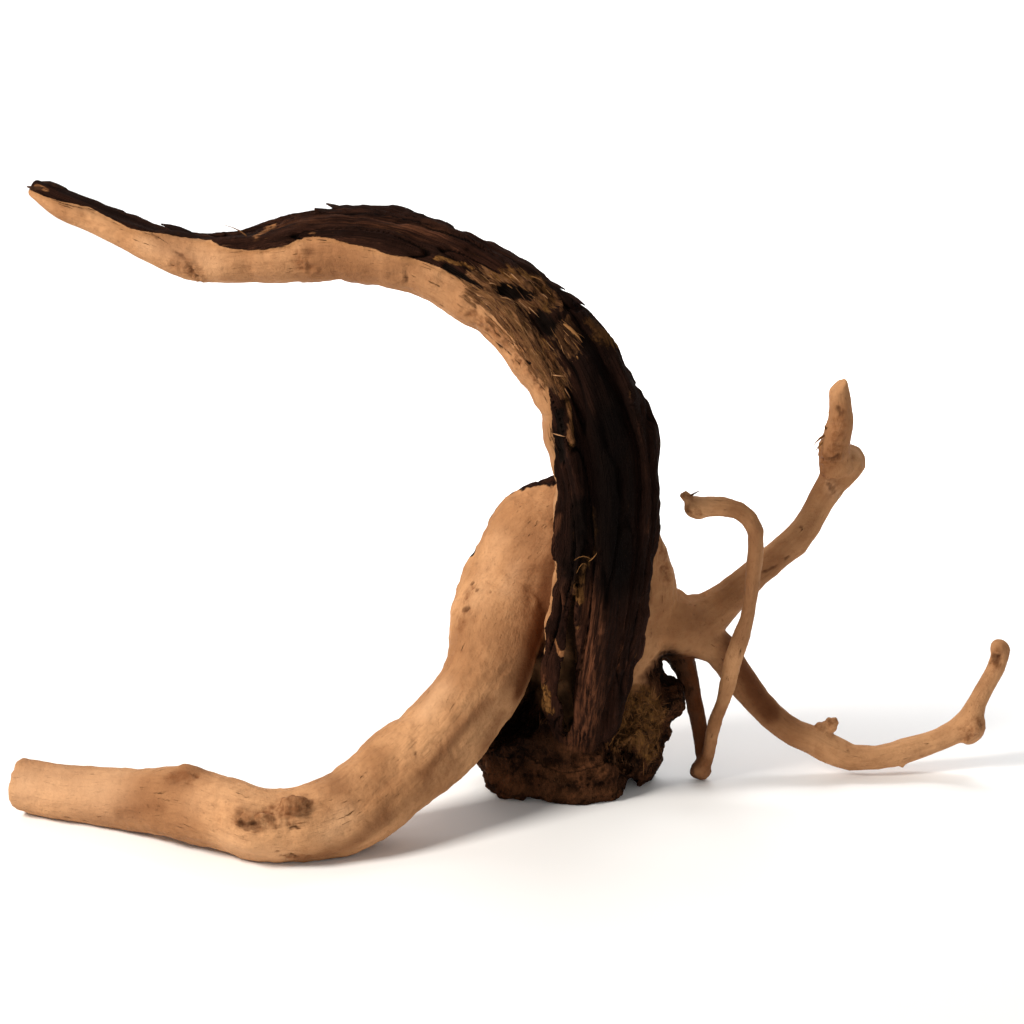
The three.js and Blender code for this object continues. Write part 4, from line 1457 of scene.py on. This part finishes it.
@dataclass
class WoodMaterial:
    """The wood's finish, from pale and worn smooth to dark bark, torn fibre and rot."""

    # Each state of the wood by its mask, with how ragged and how soft its edge is.
    STATES = (
        ("torn", TORN, 2.0, 0.14),
        ("bark", BARK, 0.7, 0.1),
        ("golden", GOLDEN, 2.4, 0.16),
        ("rot", ROT, 1.8, 0.15),
    )
    grain: bpy.types.NodeTree
    rag: bpy.types.NodeTree
    specular: float = 0.03
    bump_strength: float = 0.9
    bump_height: float = 0.0009
    thread_depth: float = 0.42
    # How dark the painted shade gets in the hollows and in the gaps.
    hollow_shade: float = 0.85
    streak_share: float = 0.22
    thread_share: float = 0.12
    wear: float = 0.22

    def build(self) -> bpy.types.Material:
        """Builds the material.

        Returns:
            The finished material.
        """
        material, bench, shader = start_material("weathered wood")
        place = bench.add("ShaderNodeTexCoord").outputs["Object"]
        read = bench.attribute
        skin = Skin(read("grain", vector=True), read("hollow"), read("clear"), place)
        cloud = bench.maths("MULTIPLY_ADD", bench.noise(place, 45.0, 4, 0.6), 0.8, 0.45)
        colour, height = self._pale(bench, skin)
        colour = self._lit_shaded_and_stained(bench, skin, colour, cloud)
        colour, height, rough = self._states(bench, skin, colour, height)
        colour = bench.tint(colour, bench.product(read("warm"), cloud), WARM)
        # Painted shade, near black, in the deep recesses.
        colour = bench.tint(colour, read("shaded_recess"), RECESS_SHADE)
        # Partly charred bark, partly painted shade on the slab's front.
        colour = bench.tint(colour, read("char_and_shade"), CHAR_AND_SHADE)
        # Painted shade in the sunk eyes and slits.
        colour = bench.tint(colour, self._share(bench, skin, "eye", 1.6, 0.2), EYE_SHADE)
        # Darker pits and creases: painted shade in them, with some real dark flecks.
        colour = bench.tint(colour, self._share(bench, skin, "pit", 1.2, 0.4), PIT_SHADE)
        bench.feed(colour, shader.inputs["Base Color"])
        worn = bench.maths("SUBTRACT", bench.noise(place, 60.0, 3), 0.5)
        rough = bench.maths("MULTIPLY_ADD", worn, self.wear, rough)
        bench.feed(rough, shader.inputs["Roughness"])
        shader.inputs["Specular IOR Level"].default_value = self.specular
        values = {"Strength": self.bump_strength, "Distance": self.bump_height, "Height": height}
        normal = bench.wire(bench.add("ShaderNodeBump"), values, "Normal")
        bench.feed(normal, shader.inputs["Normal"])
        return material

    def _streaks(
        self, bench: NodeBench, skin: Skin, finish: WoodFinish
    ) -> bpy.types.bpy_prop_collection:
        """Lays out the streaks, threads and pores of one state of the wood.

        Args:
            bench: The bench of the material.
            skin: What the finishes read of the skin.
            finish: The state's colours and sizes.

        Returns:
            The outputs Streak, Thread and Pore.
        """
        group = bench.add("ShaderNodeGroup", node_tree=self.grain)
        bench.feed(skin.grain, group.inputs["Grain"])
        group.inputs["Width"].default_value = finish.width
        group.inputs["Length"].default_value = finish.length
        return group.outputs

    def _share(
        self, bench: NodeBench, skin: Skin, name: str, rag: float, soft: float
    ) -> bpy.types.NodeSocket:
        """Gives one finish's ragged share of the skin.

        Args:
            bench: The bench of the material.
            skin: What the finishes read of the skin.
            name: The finish's mask.
            rag: How ragged its edge is.
            soft: How soft its edge is.

        Returns:
            The share.
        """
        group = bench.add("ShaderNodeGroup", node_tree=self.rag)
        values = {"Patch": bench.attribute(name), "Grain": skin.grain, "Rag": rag, "Soft": soft}
        return bench.wire(group, values, "Share")

    def _pale(
        self, bench: NodeBench, skin: Skin
    ) -> tuple[bpy.types.NodeSocket, bpy.types.NodeSocket]:
        """Lays out the pale worn wood with its streaks, pores and speckles.

        Args:
            bench: The bench of the material.
            skin: What the finishes read of the skin.

        Returns:
            Its colour and its height.
        """
        lines = self._streaks(bench, skin, PALE)
        colour = bench.mix(bench.speckle(skin, MOTTLE), rgba(PALE.light), rgba(PALE.mid))
        streak = bench.product(bench.ramp(lines["Streak"], 0.42, 0.72), skin.clear)
        streak = bench.product(streak, self.streak_share)
        colour = bench.mix(streak, colour, rgba(PALE.deep))
        thread = bench.product(bench.ramp(lines["Thread"], 0.45, 0.75), skin.clear)
        thread = bench.product(thread, self.thread_share)
        colour = bench.mix(thread, colour, rgba(PALE.deep))
        pore = bench.product(lines["Pore"], bench.product(skin.clear, PORE.strength))
        colour = bench.mix(pore, colour, rgba(PORE.colour))
        for spots, tint in PALE_SPECKLES:
            colour = bench.tint(colour, bench.speckle(skin, spots), tint)
        # Painted shade: the pale wood darkens in its hollows.
        sunk = bench.ramp(skin.hollow, 0.56, 0.85)
        colour = bench.tint(colour, sunk, Tint(PALE.deep, 0.6))
        low = bench.maths("MULTIPLY_ADD", bench.noise(skin.place, 430.0, 4, 0.6), 0.6, thread)
        low = bench.maths("MULTIPLY_ADD", bench.noise(skin.place, 170.0, 4, 0.6), 1.3, low)
        return colour, bench.maths("SUBTRACT", 0.5, bench.maths("ADD", low, pore))

    def _lit_shaded_and_stained(
        self,
        bench: NodeBench,
        skin: Skin,
        colour: bpy.types.NodeSocket,
        cloud: bpy.types.NodeSocket,
    ) -> bpy.types.NodeSocket:
        """Lays painted light and painted shade, with real stains and a paler cut face, over the
        pale wood, and roughens and rusts its worn places.

        Args:
            bench: The bench of the material.
            skin: What the finishes read of the skin.
            colour: The pale wood's colour.
            cloud: The clouds that break up what is laid softly.

        Returns:
            The new colour.
        """
        read, product = bench.attribute, bench.product
        # Painted light on the lit places, and the paler cut face of the upper limb's end.
        colour = bench.tint(colour, product(read("lit_and_pale"), cloud), LIT_AND_PALE)
        # Real stains and painted shade, deepest where the mask runs strongest.
        soft_cloud = product(read("soft_cloud"), cloud)
        colour = bench.tint(colour, soft_cloud, STAIN_AND_SHADE)
        colour = bench.tint(colour, bench.ramp(soft_cloud, 0.8, 1.8), DEEP_STAIN_AND_SHADE)
        crumb = bench.maths("MULTIPLY_ADD", bench.speckle(skin, CRUMBS), 0.55, 0.25)
        coarse = self._share(bench, skin, "rough", 0.9, 0.35)
        colour = bench.tint(colour, product(coarse, crumb), CRUMB)
        for name, tint in (("rot", RUSTY_EDGE), ("golden", AMBER_EDGE)):
            colour = bench.tint(colour, bench.ramp(read(name), 0.02, 0.3), tint)
        return colour

    def _state(
        self, bench: NodeBench, skin: Skin, finish: WoodFinish
    ) -> tuple[bpy.types.NodeSocket, bpy.types.NodeSocket]:
        """Lays out one state of the wood.

        Args:
            bench: The bench of the material.
            skin: What the finishes read of the skin.
            finish: The state's colours and sizes.

        Returns:
            Its colour and its height.
        """
        lines = self._streaks(bench, skin, finish)
        streak = bench.ramp(lines["Streak"], 0.3, 0.7)
        thread = bench.ramp(lines["Thread"], 0.3, 0.72)
        body = bench.mix(streak, rgba(finish.light), rgba(finish.mid))
        body = bench.tint(body, thread, Tint(finish.deep, self.thread_depth))
        # Painted shade: each state darkens in its hollows.
        sunk = bench.ramp(skin.hollow, 0.52, 0.86)
        body = bench.tint(body, sunk, Tint(finish.deep, self.hollow_shade))
        return body, bench.product(bench.maths("SUBTRACT", 1.0, thread), finish.relief)

    def _states(
        self,
        bench: NodeBench,
        skin: Skin,
        colour: bpy.types.NodeSocket,
        height: bpy.types.NodeSocket,
    ) -> tuple[bpy.types.NodeSocket, bpy.types.NodeSocket, bpy.types.NodeSocket]:
        """Lays torn fibre, bark, golden fibre and rot over the pale wood.

        Args:
            bench: The bench of the material.
            skin: What the finishes read of the skin.
            colour: The colour so far.
            height: The height so far.

        Returns:
            The new colour, height and roughness.
        """
        rough: object = PALE.roughness
        torn: object = 0.0
        for name, finish, rag, soft in self.STATES:
            share = self._share(bench, skin, name, rag, soft)
            body, low = self._state(bench, skin, finish)
            if name == "torn":
                torn = share
                # Painted shade in the gaps between the torn fibres.
                body = bench.tint(body, bench.speckle(skin, TORN_GAPS), TORN_GAP_SHADE)
            elif name == "bark":
                body = self._worn_and_lit_ridges(bench, skin, body)
                # A darker band on the pale wood along the bark's edge.
                colour = bench.tint(colour, bench.attribute("rim"), BARK_EDGE_BAND)
                share = bench.product(share, bench.maths("SUBTRACT", 1.0, torn))
            else:
                # Painted shade in the gaps between crumbs and fibres.
                gap_shade = bench.speckle(skin, GAPS)
                body = bench.tint(body, gap_shade, Tint(finish.deep, self.hollow_shade))
            if name == "rot":
                fresh = bench.mix(bench.speckle(skin, BARE_STREAKS), rgba(ORANGE), rgba(BROWN))
                bare = bench.product(self._share(bench, skin, "bare", 1.5, 0.22), 0.85)
                colour = bench.mix(bare, colour, fresh)
            colour = bench.mix(share, colour, body)
            height = bench.blend(share, height, low)
            rough = bench.blend(share, rough, finish.roughness)
        return colour, height, rough

    @staticmethod
    def _worn_and_lit_ridges(
        bench: NodeBench, skin: Skin, body: bpy.types.NodeSocket
    ) -> bpy.types.NodeSocket:
        """Lightens the bark's crests, partly with reddish wood worn through and partly as painted
        highlight.

        Args:
            bench: The bench of the material.
            skin: What the finishes read of the skin.
            body: The bark's colour.

        Returns:
            The bark's colour, with its lighter crests.
        """
        # The bark's crests, lightened partly as painted highlight and partly as worn reddish wood.
        ridge = bench.ramp(skin.hollow, 0.52, 0.3)
        worn = bench.product(bench.speckle(skin, RIDGE_PATCHES), ridge)
        body = bench.tint(body, worn, WORN_AND_LIT_RIDGE)
        red = bench.product(bench.attribute("red"), bench.speckle(skin, RED_STREAKS))
        return bench.tint(body, red, RED_WOOD)


@dataclass(frozen=True)
class Sliver:
    """One loose splinter or lifted flake, in mm, in the maker's drawing."""

    path: tuple[tuple[float, float, float], ...]
    half: float
    flat: float
    tone: float


SLIVERS = (
    Sliver(((-114.5, 24.5, 257.5), (-118.8, 25.5, 261.3), (-126, 26, 263.9)), 0.55, 1.0, 0.45),
    Sliver(((-62, 30, 263), (-75, 29, 267.6), (-86, 27, 270.8)), 4.0, 0.4, 0.06),
    Sliver(((-64, 34, 264), (-74, 34, 268.6), (-81.5, 35, 271.4)), 3.4, 0.4, 0.12),
    Sliver(((-134, 37, 252.5), (-146, 35, 257.5), (-157.5, 33, 259.5)), 3.6, 0.4, 0.05),
    Sliver(((-138, 40, 253.5), (-147, 38, 259), (-154.5, 37, 261.8)), 3.2, 0.4, 0.03),
    Sliver(((17, 4, 239), (25, 1, 237.8), (31.5, -1.5, 234.5)), 2.8, 0.5, 0.02),
    Sliver(((8, 8, 242.5), (16, 5, 242.8), (23, 2.5, 240.5)), 2.6, 0.5, 0.04),
    Sliver(((35, -20, 125), (31, -25, 128.5), (27, -26, 127)), 0.35, 0.9, 0.6),
    Sliver(((33, -20, 124), (35.5, -25, 128), (36.8, -27, 131)), 0.35, 0.9, 0.62),
    Sliver(((33, -20, 122), (30.5, -25, 125), (28, -26, 121)), 0.3, 0.9, 0.58),
    Sliver(((16.8, -18.8, 208.4), (20, -21.6, 208.6), (23, -20.5, 208.2)), 0.4, 0.8, 0.75),
    Sliver(((17.5, -21.5, 183), (21, -23.6, 182.6), (23.5, -23, 181.8)), 0.4, 0.8, 0.8),
    Sliver(((143.5, 46, 163), (139.5, 43.5, 161.5), (136, 42, 157.8)), 1.0, 0.6, 0.5),
    Sliver(((144, 46, 164), (141.8, 43.5, 166.5), (141.6, 42, 168.6)), 0.9, 0.6, 0.5),
    Sliver(((143.5, 46, 160), (139.5, 44, 158), (137.6, 43, 155)), 0.8, 0.6, 0.62),
    Sliver(((78, 5, 146), (81, 3, 148.5), (83.3, 2, 150)), 0.8, 0.6, 0.3),
    Sliver(((-201, 41, 274.5), (-208, 38.5, 277), (-212.6, 36.8, 278.6)), 2.6, 0.5, 0.2),
    Sliver(((-194, 44, 273), (-200.5, 42.5, 277.5), (-206.5, 41, 281)), 2.6, 0.6, 0.12),
    Sliver(((22, -12, 229), (26.5, -14.5, 226), (30, -14.5, 221.5)), 1.2, 0.5, 0.6),
)


@dataclass
class TornFibres:
    """Splinters, lifted flakes and the fine fibres of the torn and rotten places, in mm."""

    # How many fibres the torn, golden and frayed places have, and then the range of their
    # lengths, half widths, lifts and tones.
    TUFTS = (
        (320, (2.5, 8), (0.14, 0.38), (0.0, 0.2), (0.1, 0.78)),
        (420, (2, 6), (0.14, 0.3), (0.1, 0.8), (0.36, 0.64)),
        (160, (3, 8), (0.12, 0.3), (0.0, 0.14), (0.0, 0.5)),
    )
    rings: int = 4
    seed: int = 7
    least: float = 0.35
    stray: float = 0.12
    sunk: float = 0.35
    flat: float = 0.8
    margin: float = 0.02
    slivers: tuple[Sliver, ...] = SLIVERS

    def build(self, wood: "GrownWood") -> bpy.types.Object:
        """Lays every splinter and fibre on the wood.

        Args:
            wood: The grown wood, which tells where its torn places are.

        Returns:
            One object that holds them all.
        """
        pattern, faces = self._pattern()
        corners, tones = [], []
        for sliver in self.slivers:
            path = np.array(sliver.path) - MIDDLE
            corners.append(self._bent(pattern, path, sliver.half, sliver.flat))
            tones.append(sliver.tone)
        for path, half, tone in self._fine(wood):
            corners.append(self._bent(pattern, path, half, self.flat))
            tones.append(tone)
        size = len(pattern)
        low, high = (np.array(corner) / MM for corner in wood.room)
        points = np.clip(np.vstack(corners), low + self.margin, high - self.margin)
        shape = [
            tuple(corner + size * number for corner in face)
            for number in range(len(corners))
            for face in faces
        ]
        mesh = bpy.data.meshes.new("torn_fibres")
        mesh.from_pydata((points * MM).tolist(), [], shape)
        mesh.update()
        made = mesh.attributes.new("tone", "FLOAT", "POINT")
        made.data.foreach_set("value", np.repeat(tones, size).astype(np.float32))
        mesh.shade_smooth()
        obj = bpy.data.objects.new("torn_fibres", mesh)
        bpy.context.scene.collection.objects.link(obj)
        LOG.info("%s: %d splinters and fibres", obj.name, len(corners))
        return obj

    def _pattern(self) -> tuple[np.ndarray, list[tuple[int, ...]]]:
        """Models one straight splinter by hand, a cone with rings along it.

        Returns:
            Its points, with the length along Z from 0 to 1, and its faces.
        """
        bpy.ops.object.select_all(action="DESELECT")
        bpy.ops.mesh.primitive_cone_add(
            vertices=6, radius1=1, radius2=0.12, depth=1, location=(0, 0, 0.5)
        )
        bpy.ops.object.mode_set(mode="EDIT")
        for ring in range(1, self.rings):
            bpy.ops.mesh.select_all(action="SELECT")
            bpy.ops.mesh.bisect(plane_co=(0, 0, ring / self.rings), plane_no=(0, 0, 1))
        bpy.ops.object.mode_set(mode="OBJECT")
        obj = bpy.context.object
        place = np.array(obj.location)
        points = np.array([tuple(v.co) for v in obj.data.vertices]) + place
        faces = [tuple(face.vertices) for face in obj.data.polygons]
        bpy.data.objects.remove(obj)
        return points, faces

    @staticmethod
    def _bent(pattern: np.ndarray, path: np.ndarray, half: float, flat: float) -> np.ndarray:
        """Bends the pattern along a path of three points.

        Args:
            pattern: The straight splinter.
            path: Its root, middle and tip.
            half: Its half width at the root.
            flat: Its thickness as a share of its width.

        Returns:
            The bent points.
        """
        along = pattern[:, 2:3]
        centre = (
            path[0] * (1 - along) * (1 - 2 * along)
            + path[1] * 4 * along * (1 - along)
            + path[2] * along * (2 * along - 1)
        )
        ahead = path[2] - path[0]
        ahead /= np.linalg.norm(ahead)
        side = np.cross(ahead, (0.25, -0.9, 0.35))
        side /= np.linalg.norm(side)
        up = np.cross(side, ahead)
        root_share, growth = 0.3, 2.2
        half = half * np.minimum(1.0, root_share + growth * along)
        return centre + half * (pattern[:, :1] * side + pattern[:, 1:2] * up * flat)

    def _fine(self, wood: "GrownWood") -> list[tuple[np.ndarray, float, float]]:
        """Scatters fine fibres over the torn, golden and frayed places.

        Args:
            wood: The grown wood.

        Returns:
            Each fibre's path, half width and tone.
        """
        chance = np.random.default_rng(self.seed)
        found = []
        torn = wood.masks["torn"] * (1 - wood.masks["eye"])
        golden = wood.masks["golden"] * (1 - wood.on_slab)
        rim = wood.masks["rim"] * (wood.masks["torn"] < 0.2)
        for weight, (count, long, half, lift, tone) in zip((torn, golden, rim), self.TUFTS):
            share = np.where(weight > self.least, weight, 0)
            picks = chance.choice(len(share), count, p=share / share.sum())
            for pick in picks:
                out = wood.turned[pick]
                way = wood.ahead[pick] * (1 if chance.random() < 0.5 else -1)
                if weight is golden:
                    way = chance.normal(size=3)
                way = way - out * (way @ out)
                way = way / np.linalg.norm(way) + chance.normal(size=3) * self.stray
                length = chance.uniform(*long)
                rise = chance.uniform(*lift)
                root = wood.skin[pick] - out * self.sunk
                tip = root + way * length + out * rise * length * 0.5
                middle = (root + tip) / 2 + out * chance.uniform(0, 0.12) * length
                path = np.array([root, middle, tip])
                found.append((path, chance.uniform(*half), chance.uniform(*tone)))
        return found


@dataclass
class FibreMaterial:
    """The finish of loose splinters and fibres, from charred to pale."""

    # Where each colour starts and is full, over the one before it.
    TONES = (
        (0.05, 0.35, (0.085, 0.036, 0.016)),
        (0.35, 0.6, (0.22, 0.10, 0.033)),
        (0.6, 0.9, (0.42, 0.22, 0.11)),
    )
    specular: float = 0.1
    roughness: float = 0.82
    bump_strength: float = 0.6
    bump_height: float = 0.0002

    def build(self) -> bpy.types.Material:
        """Builds the material.

        Returns:
            The finished material.
        """
        material, bench, shader = start_material("torn fibres")
        place = bench.add("ShaderNodeTexCoord").outputs["Object"]
        mottle = bench.maths("SUBTRACT", bench.noise(place, 300.0, 3), 0.5)
        tone = bench.maths("MULTIPLY_ADD", mottle, 0.35, bench.attribute("tone"))
        colour: object = rgba(BARK.mid)
        for low, high, new in self.TONES:
            colour = bench.mix(bench.ramp(tone, low, high), colour, rgba(new))
        bench.feed(colour, shader.inputs["Base Color"])
        rough = bench.maths("ADD", self.roughness, mottle)
        bench.feed(rough, shader.inputs["Roughness"])
        shader.inputs["Specular IOR Level"].default_value = self.specular
        height = bench.noise(place, 900.0, 3)
        values = {"Strength": self.bump_strength, "Distance": self.bump_height, "Height": height}
        normal = bench.wire(bench.add("ShaderNodeBump"), values, "Normal")
        bench.feed(normal, shader.inputs["Normal"])
        return material


@dataclass(frozen=True)
class SoftLight:
    """One square soft light. Its side, place and aim are in metres, its power in watts."""

    name: str
    place: tuple[float, float, float]
    size: float
    power: float
    colour: tuple[float, float, float] = (1.0, 1.0, 1.0)
    aim: tuple[float, float, float] = (0.0, 0.0, 0.12)
    spread: float = 180.0


LIGHTS = (
    SoftLight("key", (-0.98, -0.55, 0.98), 0.42, 24.0, (1.0, 0.95, 0.88)),
    SoftLight("front", (0.2, -1.6, 0.7), 1.0, 3.6, (1.0, 0.98, 0.95)),
    SoftLight("back", (0.0, 2.6, 1.6), 3.0, 60.0, aim=(0.0, 2.9, 0.0)),
    SoftLight("floor", (0.55, 1.0, 1.3), 0.9, 9.0, aim=(0.5, 0.85, 0.0), spread=65.0),
)


@dataclass
class Studio:
    """Pale floor, soft lights and the camera."""

    aim: tuple[float, float, float] = (-0.00285, 0.02763, 0.1326)
    distance: float = 1.28
    elevation: float = 18.0
    lens: float = 100.0
    sensor: float = 36.0
    far: float = 50.0
    floor_size: float = 12.0
    floor_gap: float = 0.0004
    lights: tuple[SoftLight, ...] = LIGHTS

    def build(self) -> None:
        """Sets up the whole studio."""
        self._camera()
        self._floor()
        for lamp in self.lights:
            self._light(lamp)
        world = bpy.data.worlds.new("studio air")
        world.use_nodes = True
        world.node_tree.nodes["Background"].inputs["Color"].default_value = (1, 0.99, 0.97, 1)
        world.node_tree.nodes["Background"].inputs["Strength"].default_value = 0.3
        bpy.context.scene.world = world
        bpy.context.scene.view_settings.view_transform = "Standard"

    def _camera(self) -> None:
        """Puts the camera at the picture's viewing angle."""
        lift = math.radians(self.elevation)
        camera = bpy.data.cameras.new("camera")
        camera.lens = self.lens
        camera.sensor_width = self.sensor
        camera.clip_end = self.far
        holder = bpy.data.objects.new("camera", camera)
        away = Vector((0, -math.cos(lift), math.sin(lift))) * self.distance
        holder.location = Vector(self.aim) + away
        holder.rotation_euler = (math.pi / 2 - lift, 0, 0)
        bpy.context.scene.collection.objects.link(holder)
        bpy.context.scene.camera = holder

    def _floor(self) -> None:
        """Lays a plain pale floor under the wood."""
        bpy.ops.object.select_all(action="DESELECT")
        bpy.ops.mesh.primitive_plane_add(size=self.floor_size, location=(0, 0, -self.floor_gap))
        floor = bpy.context.object
        floor.name = "studio floor"
        material, _, shader = start_material("studio floor")
        shader.inputs["Base Color"].default_value = (0.93, 0.93, 0.93, 1)
        shader.inputs["Roughness"].default_value = 0.9
        shader.inputs["Specular IOR Level"].default_value = 0.1
        floor.data.materials.append(material)
        floor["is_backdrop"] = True

    @staticmethod
    def _light(lamp: SoftLight) -> None:
        """Hangs one soft light.

        Args:
            lamp: The light's place, aim and make.
        """
        light = bpy.data.lights.new(lamp.name, "AREA")
        light.energy = lamp.power
        light.size = lamp.size
        light.color = lamp.colour
        light.spread = math.radians(lamp.spread)
        holder = bpy.data.objects.new(lamp.name, light)
        holder.location = lamp.place
        look = Vector(lamp.aim) - Vector(lamp.place)
        holder.rotation_euler = look.to_track_quat("-Z", "Y").to_euler()
        bpy.context.scene.collection.objects.link(holder)


def main() -> None:
    """Builds the wood within the imported frame's bounds, and the studio."""
    logging.basicConfig(level=logging.INFO, format="%(name)s: %(message)s")
    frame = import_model()
    low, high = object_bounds()
    finish = WoodMaterial(grain_group(), rag_group()).build()
    wood = GrownWood()
    pieces = wood.build(frame["nodes"]["driftwood"], low, high)
    for piece in pieces:
        piece.data.materials.append(finish)
    fibres = TornFibres().build(wood)
    fibres.data.materials.append(FibreMaterial().build())
    for piece in (*pieces, fibres):
        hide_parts("driftwood")
        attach(piece, "root")
    Studio().build()


if __name__ == "__main__":
    main()
